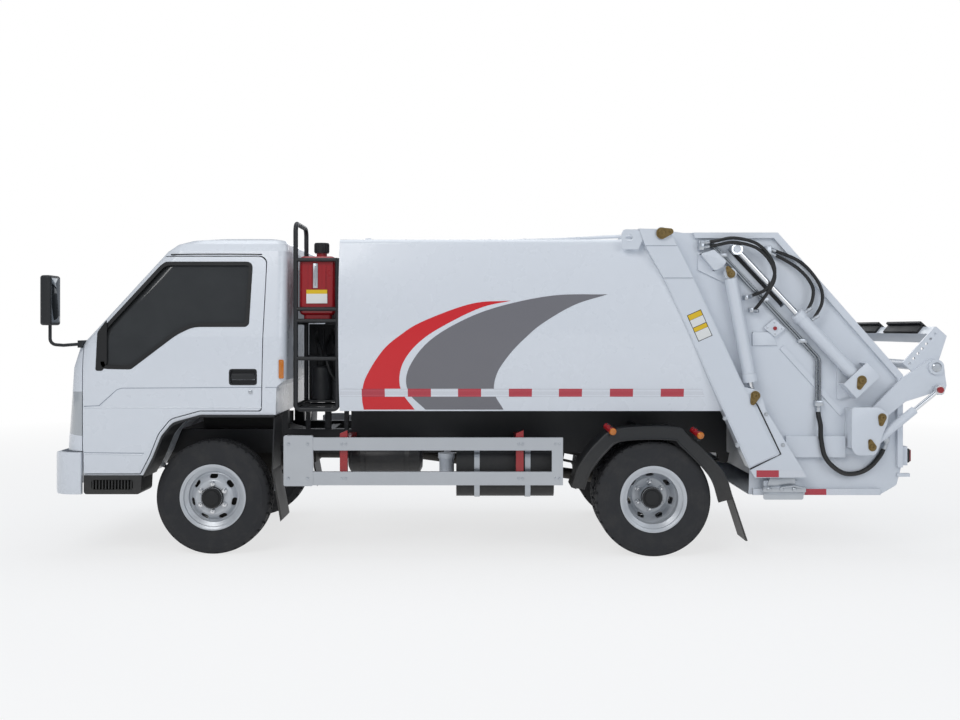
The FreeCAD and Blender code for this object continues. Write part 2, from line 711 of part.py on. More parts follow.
def tank_rack():
    """Black tube ladder between cab and body, with its hoop and tank shelf."""
    radius = 15.0
    rung = 12.5
    front = 534.0
    rear = BODY_FRONT_X - radius
    pieces = []
    for y in (-800, -400):
        pieces.append(rod(Vector(front, y, 1000), Vector(front, y, 1990), radius))
        pieces.append(rod(Vector(rear, y, 1000), Vector(rear, y, 1890), radius))
        for z in (1253, 1493, 1567, 1880):
            if z == 1567 and y == -400:
                continue
            pieces.append(rod(Vector(front, y, z), Vector(rear, y, z), rung))
        pieces.append(pipe([(front, y, 1000), (front, y, 930), (rear, y, 930),
                            (rear, y, 1000)], radius, 40))
    pieces.append(pipe([(front, -800, 1990), (front, -800, 2112), (front, -400, 2112),
                        (front, -400, 1990)], radius, 90))
    for x in (front, rear):
        pieces.append(rod(Vector(x, -800, 1480), Vector(x, -400, 1480), rung))
        pieces.append(rod(Vector(x, -800, 955), Vector(x, -400, 955), rung))
    pieces.append(box(front, rear, -790, -410, 1493 - 5, 1493 + 5))
    # Feet down to the rails
    pieces.append(box(rear - 20, rear + 12, -422, -RAIL_OUTER_Y + 10, 905, 942))
    pieces.append(box(front - 20, front + 20, -422, -RAIL_OUTER_Y + 10, 905, 942))
    for x in (front, rear - 4):
        pieces.append(box(x - 14, x + 14, -RAIL_OUTER_Y + 5, -RAIL_OUTER_Y + 50, RAIL_TOP_Z,
                          938))
    return fuse(pieces)


def oil_tank():
    """Red hydraulic tank with embossed ribs, neck and gauge."""
    x0 = 551.0
    x1 = 782.0
    bottom = 1498.0 + SEAT_GAP
    tank = box(x0, x1, -782, -418, bottom + 30, 1905)
    tank = tank.makeFillet(28, [edge for edge in tank.Edges])
    base = plan_prism([(x0 + 25, -760, 25), (x1 - 25, -760, 25), (x1 - 25, -440, 25),
                       (x0 + 25, -440, 25)], bottom, bottom + 60)
    ribs = []
    for x in (x0 + 62, x0 + 150):
        ribs.append(side_prism([(x, bottom + 110, 9), (x + 22, bottom + 110, 9),
                                (x + 22, 1850, 9), (x, 1850, 9)], -788, -760))
    neck = Part.makeCylinder(34, 40, Vector(x0 + 118, -600, 1895))
    return fuse([tank, base, neck] + ribs)


def tank_cap():
    """Breather cap and the gauge frame on the tank."""
    return Part.makeCylinder(46, 66, Vector(669, -600, 1935 + SEAT_GAP))


def air_intake():
    """Air cleaner and duct behind the cab."""
    cleaner = Part.makeCylinder(125, 330, Vector(668, -150, 1000))
    lid = Part.makeCylinder(134, 40, Vector(668, -150, 1290))
    foot = box(650, 690, -RAIL_OUTER_Y + 40, -100, 945, 1010)
    leg = box(650, 690, -RAIL_OUTER_Y + 10, -RAIL_OUTER_Y + 50, RAIL_TOP_Z, 1010)
    duct = pipe([(668, -150, 1320), (668, -150, 1480), (668, 60, 1600), (668, 300, 1640),
                 (668, 300, 1900)], 48, 100)
    return fuse([cleaner, lid, foot, leg, duct])


# Cab

CAB_LEVELS = [
    (519.0, -931.0, 478.0, 856.0, 150.0),
    (702.0, -931.0, 478.0, 862.0, 150.0),
    (1194.0, -893.0, 478.0, 870.0, 150.0),
    (1330.0, -850.0, 478.0, 870.0, 150.0),
    (1392.0, -791.0, 478.0, 868.0, 150.0),
    (1938.0, -313.0, 478.0, 785.0, 130.0),
    (1984.0, -252.0, 470.0, 758.0, 120.0),
    (2010.0, -170.0, 448.0, 716.0, 110.0),
    (2025.0, -20.0, 380.0, 640.0, 100.0),
]
DOOR_ARCH = [(-436.0, 530.0, 10.0), (-377.0, 642.0, 60.0), (-320.0, 782.0, 80.0),
             (-243.0, 876.0, 80.0), (-59.0, DOOR_SEAM_Z, 60.0)]
DOOR_EDGE = DOOR_ARCH + [(327.0, DOOR_SEAM_Z, 20.0), (DOOR_REAR_X, DOOR_TOP_Z, 50.0),
                         (-340.0, DOOR_TOP_Z, 40.0), (DOOR_FRONT_X, 1385.0, 30.0),
                         (DOOR_FRONT_X, 530.0)]
SIDE_WINDOW = [(-680.0, 1190.0, 30.0), (-490.0, 1185.0, 40.0), (-200.0, 1405.0, 60.0),
               (-100.0, 1453.0, 30.0), (250.0, 1453.0, 30.0), (262.0, 1868.0, 40.0),
               (-305.0, 1868.0, 40.0), (-680.0, 1436.0, 60.0)]


def cab_loft(inset):
    """Rounded levels of the cab joined upwards; inset moves every wall inwards."""
    wires = []
    for z, front, rear, half, corner in CAB_LEVELS:
        if z < 600:
            z += inset
        if z > 1900:
            z -= inset
        outline = [(front + inset, -half + inset, corner - inset / 2),
                   (rear - inset, -half + inset, 60 - inset / 2),
                   (rear - inset, half - inset, 60 - inset / 2),
                   (front + inset, half - inset, corner - inset / 2)]
        wires.append(rounded_wire(outline, lambda a, b, z=z: Vector(a, b, z)))
    return Part.makeLoft(wires, True, True)


def cab_side_outline():
    """Outline that the cab is trimmed to, seen from the side."""
    arch = offset_line(DOOR_ARCH[1:], -ARCH_LIP)
    first = offset_line(DOOR_ARCH, -ARCH_LIP)[0]
    toe = (first[0], CAB_SILL_Z)
    tail = [(419.0, DOOR_SEAM_Z - ARCH_LIP), (425.0, 1075.0, 20.0), (472.0, 1117.0, 20.0),
            (700.0, 1117.0)]
    head = [(700.0, 2200.0), (-1200.0, 2200.0), (-1200.0, CAB_CHIN_Z),
            (-791.0, CAB_CHIN_Z), (-791.0, CAB_SILL_Z)]
    return [toe] + arch + tail + head


def cab_solid(inset):
    outline = cab_side_outline()
    if inset:
        outline = offset_line(outline, inset, True)
    half = TUNNEL_HALF_WIDTH + inset
    tunnel = box(TUNNEL_FRONT_X - inset, 1000, -half, half, 400, TUNNEL_TOP_Z + inset)
    return cab_loft(inset).common(side_prism(outline, -1000, 1000)).cut(tunnel)


def door_zone(outline, depth):
    """Prism through the side wall, down to the wall's inner face and depth beyond it."""
    face = [(-half + CAB_WALL + depth, z) for z, front, rear, half, corner in CAB_LEVELS[:6]]
    section = [(-1000, 400), (face[0][0], 400)] + face + [(face[-1][0], 2500), (-1000, 2500)]
    return side_prism(outline, -1000, -500).common(end_prism(section, -1500, 1500))


def screen_outline(y, low, high, radius, shrink):
    return [(-y + shrink, low + shrink, radius), (y - shrink, low + shrink, radius),
            (y - 60 - shrink, high - shrink, radius), (-y + 60 + shrink, high - shrink, radius)]


def lamp_outline(grow):
    return [(-842 - grow - 60, 1046 + grow), (-560 + grow, 1036 + grow, 20),
            (-590 + grow, 905 - grow, 20), (-700, 800 - grow, 30), (-842 - grow - 60, 760 - grow)]


def grille_outline(grow):
    return [(-520 - grow, 1030 + grow, 18), (520 + grow, 1030 + grow, 18),
            (470 + grow, 800 - grow, 18), (-470 - grow, 800 - grow, 18)]


def cab_parts():
    """Shell, glass, doors and everything cut from the cab's walls."""
    outer = cab_solid(0)
    inner = cab_solid(CAB_WALL)
    wall = outer.cut(inner)
    glass_layer = cab_solid(GLASS_INSET).cut(cab_solid(GLASS_INSET + GLASS_THICKNESS))
    far = 1000.0

    door_prism = door_zone(DOOR_EDGE, 0)
    door_hole = door_zone(offset_line(DOOR_EDGE, -DOOR_GAP, True), 10)
    window = side_prism(SIDE_WINDOW, -far, -500)
    pane = side_prism(offset_line(SIDE_WINDOW, SEAT_GAP, True), -far, -500)
    hinge_x = DOOR_FRONT_X - 4
    hinge_y = -CAB_HALF_WIDTH - DOOR_GAP
    swing = Part.makeCylinder(DOOR_REAR_X - hinge_x + 1, 2000, Vector(hinge_x, hinge_y, 300))
    recess = side_prism([(132, 1092, 16), (298, 1092, 16), (298, 1184, 16), (132, 1184, 16)],
                        -far, -CAB_HALF_WIDTH + 22)
    grip = side_prism([(140, 1120, 10), (290, 1120, 10), (290, 1156, 10), (140, 1156, 10)],
                      -CAB_HALF_WIDTH + 4, -CAB_HALF_WIDTH + 14)
    grip_posts = [box(140, 152, -CAB_HALF_WIDTH + 6, -CAB_HALF_WIDTH + 30, 1124, 1152),
                  box(278, 290, -CAB_HALF_WIDTH + 6, -CAB_HALF_WIDTH + 30, 1124, 1152)]
    door = wall.common(door_prism).common(swing).cut(window).cut(recess)
    door = fuse([door, grip] + grip_posts)
    door_glass = glass_layer.common(pane).common(door_prism).common(swing)

    screen = end_prism(screen_outline(735, 1440, 1885, 60, 0), -far, -150)
    screen_glass = glass_layer.common(
        end_prism(screen_outline(735, 1440, 1885, 60, SEAT_GAP), -far, -150))
    rear_hole = end_prism([(-420, 1480, 50), (420, 1480, 50), (420, 1840, 50),
                           (-420, 1840, 50)], 300, 600)
    rear_pane = end_prism([(-420 + SEAT_GAP, 1480 + SEAT_GAP, 50),
                           (420 - SEAT_GAP, 1480 + SEAT_GAP, 50),
                           (420 - SEAT_GAP, 1840 - SEAT_GAP, 50),
                           (-420 + SEAT_GAP, 1840 - SEAT_GAP, 50)], 300, 600)
    shell = wall.cut(door_hole).cut(mirrored(door_hole)).cut(screen).cut(rear_hole)

    lamp_prism = end_prism(lamp_outline(0), -far, -800)
    lamp_hole = end_prism(lamp_outline(SEAT_GAP), -far, -800)
    lamp_layer = cab_solid(0).cut(cab_solid(34))
    lamp = lamp_layer.common(lamp_prism)
    grille_prism = end_prism(grille_outline(0), -far, -870)
    grille_hole = end_prism(grille_outline(SEAT_GAP), -far, -855)
    bars = []
    for index in range(5):
        z = 815 + index * 46
        bars.append(box(-far, -800, -560, 560, z, z + 22))
    frame_band = grille_prism.cut(
        end_prism(grille_outline(-22), -far - 1, -800))
    grille = cab_solid(2).cut(cab_solid(30)).common(
        fuse([frame_band] + [bar.common(grille_prism) for bar in bars]))
    shell = shell.cut(lamp_hole).cut(mirrored(lamp_hole)).cut(grille_hole)
    # Arms that reach down to the tilt pins
    for side in (-1, 1):
        y0 = side * (RAIL_OUTER_Y - RAIL_SHEET - 6)
        y1 = y0 - side * 30
        strap = side_prism([(TILT_PIVOT_X - 18, TILT_PIVOT_Z + 8), (-925, CAB_CHIN_Z + 6),
                            (-885, CAB_CHIN_Z + 6), (TILT_PIVOT_X + 8, TILT_PIVOT_Z - 18)],
                           min(y0, y1), max(y0, y1))
        ring = across(TILT_PIVOT_X, TILT_PIVOT_Z, 20, min(y0, y1), max(y0, y1))
        arm = fuse([strap, ring])
        arm = arm.cut(across(TILT_PIVOT_X, TILT_PIVOT_Z, 11 + PIN_CLEARANCE, -far, far))
        shell = fuse([shell, arm])
    return shell, [screen_glass, glass_layer.common(rear_pane)], door, door_glass, lamp, grille


def mirrors():
    """Driver's side mirror on its arm."""
    head = plan_prism([(-1001, -1030, 40), (-925, -1040, 20), (-925, -872, 20),
                       (-1001, -880, 40)], 1463, 1771)
    head = head.makeFillet(16, [edge for edge in head.Edges
                                if abs(edge.BoundBox.ZMax - edge.BoundBox.ZMin) < 1])
    arm = pipe([(-818, -836, 1345), (-900, -900, 1338), (-963, -950, 1345),
                (-963, -950, 1480)], 10, 40)
    base = box(-832, -802, -850, -700, 1322, 1368).cut(cab_solid(0))
    return fuse([head, arm, base])


DASH_OUTLINE = [(-900, 1000), (-900, 1200), (-780, 1340, 30), (-600, 1345, 40),
                (-555, 1230, 40), (-640, 1000)]


def dashboard():
    """Moulded dashboard across the cab."""
    body = side_prism(DASH_OUTLINE, -800, 800).common(cab_solid(CAB_WALL + SEAT_GAP))
    return body.common(box(-1000, -400, -770, 770, 900, 1400))


def steering_wheel():
    """Wheel, spokes and column, driver's side."""
    centre = Vector(-500, -400, 1345)
    tilt = Vector(0.5, 0, 0.866)
    rim = Part.makeTorus(190, 14, centre, tilt)
    hub = Part.makeCylinder(45, 40, centre - tilt * 30, tilt)
    spokes = []
    along = Vector(0.866, 0, -0.5)
    for turn in (90, 210, 330):
        angle = math.radians(turn)
        reach = along * math.sin(angle) + Vector(0, 1, 0) * math.cos(angle)
        spokes.append(rod(centre + reach * 20 - tilt * 6, centre + reach * 186, 9))
    column = rod(centre - tilt * 25, centre - tilt * 150, 24)
    column = column.cut(side_prism(offset_line(DASH_OUTLINE, SEAT_GAP, True), -800, 0))
    return fuse([rim, hub, column] + spokes)


def seat(y):
    """Cushion, back and head rest on a pedestal."""
    floor_z = DOOR_SEAM_Z - ARCH_LIP + CAB_WALL + 4 * SEAT_GAP
    pedestal = box(-20, 330, y - 190, y + 190, floor_z, 1060)
    cushion = side_prism([(-130, 1060, 20), (330, 1040, 20), (330, 1170, 40), (-130, 1195, 45)],
                         y - 240, y + 240)
    back = side_prism([(265, 1165, 30), (350, 1120, 20), (425, 1660, 40), (330, 1680, 40)],
                      y - 235, y + 235)
    head = side_prism([(345, 1690, 25), (420, 1690, 25), (425, 1830, 30), (360, 1830, 30)],
                      y - 130, y + 130)
    post = box(370, 395, y - 60, y + 60, 1640, 1700)
    return fuse([pedestal, cushion, back, head, post])


def cab_lower_trim():
    """Step under the door and black flare round the wheel arch, driver's side."""
    step = side_prism([(-789, 400, 20), (-430, 400, 25), (-424, CAB_SILL_Z - SEAT_GAP),
                       (-789, CAB_SILL_Z - SEAT_GAP)], -862, -640)
    tread = side_prism([(-740, 430, 15), (-480, 430, 15), (-480, 490, 15), (-740, 490, 15)],
                       -870, -740)
    step = step.cut(tread)
    arch = offset_line(DOOR_ARCH + [(410.0, DOOR_SEAM_Z)], -ARCH_LIP - SEAT_GAP)
    flare = side_prism(strip(arch[::-1], 14), -880, -640)
    return [step, flare]


# Wheels

def tyre(x, y):
    """Road tyre standing about the axle, width about y."""
    half = TYRE_WIDTH / 2
    r = RIM_SEAT_RADIUS + SEAT_GAP
    section = [(r, -72, 6), (r + 40, -82), (r + 92, -half, 60), (TYRE_RADIUS - 14, -half + 10, 20),
               (TYRE_RADIUS, -half + 30, 12), (TYRE_RADIUS, half - 30, 12),
               (TYRE_RADIUS - 14, half - 10, 20), (r + 92, half, 60), (r + 40, 82), (r, 72, 6)]
    return turned(section, x, y, TYRE_RADIUS)


def rim_barrel(x, y):
    seat_r = RIM_SEAT_RADIUS
    well = seat_r - 26
    lip = seat_r + 15
    t = RIM_WALL
    section = [(lip, -84), (lip, -78), (seat_r, -73), (seat_r, -58), (well, -44), (well, 44),
               (seat_r, 58), (seat_r, 73), (lip, 78), (lip, 84), (lip - 8, 84),
               (seat_r - t, 77), (seat_r - t, 62), (well - t, 48), (well - t, -48),
               (seat_r - t, -62), (seat_r - t, -77), (lip - 8, -84)]
    return turned(section, x, y, TYRE_RADIUS)


def hand_holes(x, y0, y1, ring, count, long_r, wide_r):
    """Long holes round the disc; each is a slot along the circle."""
    holes = []
    for index in range(count):
        angle = 360.0 * index / count + 90
        centre_x, centre_z = polar(x, TYRE_RADIUS, angle, ring)
        slot = Part.makeCylinder(wide_r, y1 - y0, Vector(centre_x, y0, centre_z),
                                 Vector(0, 1, 0))
        stretch = long_r - wide_r
        turn = math.radians(angle + 90)
        run = Vector(math.cos(turn) * stretch, 0, math.sin(turn) * stretch)
        other = slot.copy()
        slot.translate(run)
        other.translate(run * -1)
        bridge = Part.makeBox(2 * stretch, y1 - y0, 2 * wide_r,
                              Vector(-stretch, 0, -wide_r))
        bridge.rotate(Vector(0, 0, 0), Vector(0, 1, 0), -(angle + 90))
        bridge.translate(Vector(centre_x, y0, centre_z))
        holes.append(fuse([slot, other, bridge]))
    return holes


def hub(x, y_inner, y_outer, side):
    """Hub with its cap; the spindle's bore is blind. side is -1 for the driver's side."""
    low = min(side * y_inner, side * y_outer)
    high = max(side * y_inner, side * y_outer)
    body = across(x, TYRE_RADIUS, HUB_RADIUS, low, high)
    bore_low = min(side * (y_inner - 1), side * (y_outer - 34))
    bore_high = max(side * (y_inner - 1), side * (y_outer - 34))
    return body.cut(across(x, TYRE_RADIUS, SPINDLE_RADIUS + PIN_CLEARANCE, bore_low, bore_high))


def front_rim(side):
    """Rim with a disc that bulges outwards."""
    y = side * FRONT_WHEEL_Y
    s = side
    line = [(50, 71), (104, 71, 14), (120, 58, 16), (142, 28, 14), (DISC_RADIUS, 22)]
    disc = [(p[0], s * p[1]) + tuple(p[2:]) for p in strip(line, DISC_SHEET)]
    solid = fuse([rim_barrel(0, y), turned(disc, 0, y, TYRE_RADIUS)])
    low = min(y, y + s * 100)
    for hole in hand_holes(0, low, low + 100, 133, HAND_HOLE_COUNT, 26, 13):
        solid = solid.cut(hole)
    face = FRONT_WHEEL_Y + 80
    nuts = []
    for index in range(STUD_COUNT):
        nx, nz = polar(0, TYRE_RADIUS, 60 * index + 30, STUD_CIRCLE_RADIUS)
        nuts.append(across(nx, nz, 13, min(s * (face - 4), s * (face + 18)),
                           max(s * (face - 4), s * (face + 18))))
    return fuse([solid, hub(0, FRONT_WHEEL_Y, FRONT_WHEEL_Y + 108, side)] + nuts)


def rear_rims(side):
    """Twin rims bolted disc to disc on one hub, with the brake drum."""
    x = REAR_AXLE_X
    s = side
    outer_y = REAR_WHEEL_Y
    inner_y = REAR_WHEEL_Y - TWIN_SPACING
    middle = (outer_y + inner_y) / 2
    pieces = [rim_barrel(x, s * outer_y), rim_barrel(x, s * inner_y)]
    depth = outer_y - middle
    face = -depth + DISC_SHEET
    line = [(DISC_RADIUS, -18), (150, -38, 14), (132, face + 14, 14), (112, face, 14), (40, face)]
    disc = strip(line, DISC_SHEET)
    pieces.append(turned([(p[0], s * p[1]) + tuple(p[2:]) for p in disc], x, s * outer_y,
                         TYRE_RADIUS))
    pieces.append(turned([(p[0], -s * p[1]) + tuple(p[2:]) for p in disc], x, s * inner_y,
                         TYRE_RADIUS))
    solid = fuse(pieces)
    for hole in hand_holes(x, min(s * 500, s * 850), max(s * 500, s * 850), 137,
                           HAND_HOLE_COUNT, 24, 12):
        solid = solid.cut(hole)
    nuts = []
    for index in range(STUD_COUNT):
        nx, nz = polar(x, TYRE_RADIUS, 60 * index + 30, STUD_CIRCLE_RADIUS)
        nuts.append(across(nx, nz, 13, min(s * middle, s * (middle + 34)),
                           max(s * middle, s * (middle + 34))))
    drum_low = inner_y - TYRE_WIDTH / 2 + 6
    drum = across(x, TYRE_RADIUS, REAR_DRUM_RADIUS, min(s * drum_low, s * (middle - 20)),
                  max(s * drum_low, s * (middle - 20)))
    drum = drum.cut(across(x, TYRE_RADIUS, SPINDLE_RADIUS + PIN_CLEARANCE, -900, 900))
    neck = across(x, TYRE_RADIUS, 105, min(s * (middle - 21), s * (middle + 1)),
                  max(s * (middle - 21), s * (middle + 1)))
    neck = neck.cut(across(x, TYRE_RADIUS, SPINDLE_RADIUS + PIN_CLEARANCE, -900, 900))
    return fuse([solid, drum, neck, hub(x, middle - 20, outer_y + 28, side)] + nuts)


# Tailgate

def gate_outline():
    """Side wall of the tailgate in (x, z)."""
    front = offset_line(COLUMN_REAR[::-1], MATING_GAP)
    front = [(point[0], point[1]) for point in front[1:]]
    return (front + [(3425, 560), (GATE_TOE_X, GATE_BOTTOM_Z, 10), (4259, GATE_BOTTOM_Z, 30),
                     (4362, 445, 30), (GATE_LIP_X, 560), (GATE_LIP_X, GATE_LIP_Z, 20),
                     (GATE_TOP_X, GATE_TOP_Z, 30), (3060, GATE_TOP_Z)])


def slide_unit():
    """Unit direction in which the packer slide travels, down and rearwards."""
    turn = math.radians(SLIDE_ANGLE)
    return Vector(math.cos(turn), 0, -math.sin(turn))


def along_slide(distance, sideways=0.0):
    """Point in (x, z) at a distance down the slide's line and to its upper side."""
    unit = slide_unit()
    return (SLIDE_PIN_X + unit.x * distance - unit.z * sideways,
            SLIDE_PIN_Z + unit.z * distance + unit.x * sideways)


def slide_bar(start, end, low, high, y0, y1):
    """Bar parallel to the slide's line."""
    return side_prism([along_slide(start, low), along_slide(end, low), along_slide(end, high),
                       along_slide(start, high)], y0, y1)


def gate_wall():
    """Driver's side wall with slot, edge ribs and inner guide rails."""
    y0 = -GATE_OUTER_Y
    y1 = y0 + GATE_SHEET
    wall = side_prism(gate_outline(), y0, y1)
    slot = slide_bar(-32, SLIDE_STROKE + 32, -30, 30, y0 - 1, y1 + 1)
    wall = wall.cut(slot)
    rib = 28.0
    pieces = [wall]
    slope = [(GATE_TOP_X, GATE_TOP_Z), (GATE_LIP_X, GATE_LIP_Z)]
    pieces.append(side_prism(strip(slope, -42), y0 - rib, y0))
    pieces.append(side_prism([(3060, GATE_TOP_Z), (GATE_TOP_X, GATE_TOP_Z),
                              (GATE_TOP_X, GATE_TOP_Z - 36), (3072, GATE_TOP_Z - 36)],
                             y0 - rib, y0))
    pieces.append(side_prism([(GATE_LIP_X - 34, 560), (GATE_LIP_X, 560), (GATE_LIP_X, GATE_LIP_Z),
                              (GATE_LIP_X - 34, GATE_LIP_Z + 30)], y0 - rib, y0))
    pieces.append(side_prism([(3648, 625, 6), (4025, 625, 6), (4025, 760, 6), (3648, 760, 6)],
                             y0 - 34, y0))
    pieces.append(side_prism(strip([(3616, 1313), (4000, 886)], 34), y0 - 10, y0))
    pieces.append(side_prism([(3440, GATE_BOTTOM_Z), (4250, GATE_BOTTOM_Z), (4250, 425),
                              (3440, 425)], y0 - rib, y0))
    # Guide rails for the packer slide, inside
    pieces.append(slide_bar(-150, 830, -72, -37, y1, y1 + 28))
    pieces.append(slide_bar(-70, 830, 37, 72, y1, y1 + 28))
    return pieces


def hinge_arm():
    """Arm from the top pin to the side wall, driver's side."""
    y0 = -GATE_OUTER_Y
    arm = side_prism([(HINGE_X - 45, HINGE_Z - 45, 44), (HINGE_X + 60, HINGE_Z - 60),
                      (3090, 1860), (3160, 1900), (3160, GATE_TOP_Z), (3000, GATE_TOP_Z),
                      (HINGE_X - 45, HINGE_Z + 45, 44)], y0, y0 + 30)
    return arm.cut(across(HINGE_X, HINGE_Z, HINGE_PIN_RADIUS + PIN_CLEARANCE, -900, -600))


def tailgate_walls():
    """Side walls joined by roof, rear hood and the beams between them."""
    inner = GATE_OUTER_Y - GATE_SHEET
    left = [side for side in gate_wall()] + [hinge_arm()]
    right = [mirrored(shape) for shape in left]
    roof = box(3000, GATE_TOP_X, -inner, inner, GATE_TOP_Z - GATE_SHEET, GATE_TOP_Z)
    hood_end = (3990.0, 1606.0)
    hood = side_prism(strip([(GATE_TOP_X, GATE_TOP_Z), hood_end], -GATE_SHEET), -inner, inner)
    lip = side_prism([hood_end, (hood_end[0] - 40, hood_end[1] - 10),
                      (hood_end[0] - 20, hood_end[1] - 32), (hood_end[0] + 18, hood_end[1] - 20)],
                     -inner, inner)
    belly = side_prism(strip([(GATE_TOE_X, GATE_BOTTOM_Z), (4259, GATE_BOTTOM_Z), (4362, 445),
                              (GATE_LIP_X, 560)], GATE_SHEET), -inner, inner)
    return fuse(left + right + [roof, hood, lip, belly])


def hopper_tub():
    """Curved hopper floor swept by the blade, with its front ramp and rear wall."""
    unit = slide_unit()
    cx = BLADE_PIN_X + unit.x * SLIDE_STROKE
    cz = BLADE_PIN_Z + unit.z * SLIDE_STROKE
    reach = BLADE_LENGTH + BLADE_CLEARANCE
    thick = GATE_SHEET
    half = GATE_OUTER_Y - GATE_SHEET - SEAT_GAP
    front_angle = -115.0
    rear_angle = -25.0

    def spot(angle, radius):
        x, z = polar(cx, cz, angle, radius)
        return Vector(x, -half, z)

    ramp_top = Vector(3466, -half, 930)
    rear_top = Vector(GATE_LIP_X - 6, -half, GATE_LIP_Z - 10)
    mid_angle = (front_angle + rear_angle) / 2
    inner_arc = Part.Arc(spot(front_angle, reach), spot(mid_angle, reach),
                         spot(rear_angle, reach)).toShape()
    outer_arc = Part.Arc(spot(rear_angle, reach + thick), spot(mid_angle, reach + thick),
                         spot(front_angle, reach + thick)).toShape()
    ramp_low = ramp_top - Vector(thick, 0, 0)
    rear_out = rear_top + Vector(thick, 0, 0)
    wire = Part.Wire([
        Part.makeLine(ramp_top, spot(front_angle, reach)),
        inner_arc,
        Part.makeLine(spot(rear_angle, reach), rear_top),
        Part.makeLine(rear_top, rear_out),
        Part.makeLine(rear_out, spot(rear_angle, reach + thick)),
        outer_arc,
        Part.makeLine(spot(front_angle, reach + thick), ramp_low),
        Part.makeLine(ramp_low, ramp_top),
    ])
    return Part.Face(wire).extrude(Vector(0, 2 * half, 0))


def gate_brackets():
    """Brackets and pins on the outside of the wall, driver's side."""
    face = -GATE_OUTER_Y
    shapes = []
    # Top eye of the lift cylinder on its square tube
    shapes.append(side_prism([(3093, 1815, 8), (3250, 1740, 8), (3320, 1740, 20), (3312, 1805, 16),
                              (3240, 1848, 8), (3150, 1925, 8), (3093, 1925, 8)],
                             face - 14, face - SEAT_GAP))
    shapes.append(across(LIFT_EYE_X, LIFT_EYE_Z, 22, -LIFT_Y - 28, face - 10))
    # Anchor of the slide cylinder
    anchor_x, anchor_z = along_slide(SLIDE_CYLINDER_LENGTH)
    shapes.append(side_prism([(anchor_x - 118, anchor_z + 96, 10), (anchor_x - 20, anchor_z + 110, 20),
                              (anchor_x + 52, anchor_z + 20, 20), (anchor_x + 34, anchor_z - 90, 14),
                              (anchor_x - 118, anchor_z - 128, 10)], face - 16, face - SEAT_GAP))
    shapes.append(across(anchor_x, anchor_z, 22, -SLIDE_Y - 34, face - 10))
    # Lifter bracket with pivot pin and cylinder pin
    shapes.append(side_prism([(4030, 645, 10), (4210, 645, 20), (4262, 860, 24), (4240, 954, 24),
                              (4100, 940, 20), (4030, 860, 10)], face - 18, face - SEAT_GAP))
    shapes.append(across(LIFTER_PIVOT_X, LIFTER_PIVOT_Z, 24, -LIFTER_ARM_Y - 26, face - 10))
    shapes.append(across(LIFTER_BASE_X, LIFTER_BASE_Z, 18, -LIFTER_CYLINDER_Y - 28, face - 10))
    # Toggle clamp low at the front
    shapes.append(side_prism([(3500, 395, 8), (3740, 395, 8), (3760, 440, 8), (3720, 480, 8),
                              (3500, 480, 8)], face - 50, face - 28 - SEAT_GAP))
    # Small stub at the rear post
    shapes.append(side_prism([(4360, 500, 4), (4440, 500, 4), (4440, 522, 4), (4360, 522, 4)],
                             face - 20, face - SEAT_GAP))
    group = [fuse([shapes[0], shapes[1]]), fuse([shapes[2], shapes[3]]),
             fuse([shapes[4], shapes[5], shapes[6]]), shapes[7], shapes[8]]
    return group


def rear_beam():
    """Beam under the loading lip that carries the rear lamps."""
    half = GATE_OUTER_Y
    return box(GATE_LIP_X + SEAT_GAP, GATE_LIP_X + 40, -half, half, 570, 690)


def tail_lamps():
    """Lamp cluster at the rear beam, driver's side."""
    x = GATE_LIP_X + 40 + SEAT_GAP
    return end_prism([(-760, 585, 14), (-520, 585, 14), (-520, 675, 14), (-760, 675, 14)],
                     x, x + 32)


def slide_barrel():
    """Fixed barrel of the slide cylinder, driver's side."""
    unit = slide_unit()

    def spot(distance):
        x, z = along_slide(distance)
        return Vector(x, -SLIDE_Y, z)

    anchor_x, anchor_z = along_slide(SLIDE_CYLINDER_LENGTH)
    tube = rod(spot(560), spot(SLIDE_CYLINDER_LENGTH - 30), SLIDE_BARREL_RADIUS)
    collar = rod(spot(556), spot(600), SLIDE_BARREL_RADIUS + 5)
    bore = rod(spot(550), spot(SLIDE_CYLINDER_LENGTH - 45), SLIDE_ROD_RADIUS + PIN_CLEARANCE)
    ring = across(anchor_x, anchor_z, 38, -SLIDE_Y - 22, -SLIDE_Y + 22)
    body = fuse([tube, collar, ring]).cut(bore)
    return body.cut(across(anchor_x, anchor_z, 22 + PIN_CLEARANCE, -900, -700))


def slide_rod():
    """Rod and eye that travel with the slide, driver's side."""
    def spot(distance):
        x, z = along_slide(distance)
        return Vector(x, -SLIDE_Y, z)

    ring = across(SLIDE_PIN_X, SLIDE_PIN_Z, 36, -SLIDE_Y - 20, -SLIDE_Y + 20)
    bar = rod(spot(20), spot(630), SLIDE_ROD_RADIUS)
    return fuse([ring, bar]).cut(across(SLIDE_PIN_X, SLIDE_PIN_Z, 22 + PIN_CLEARANCE, -900, -700))


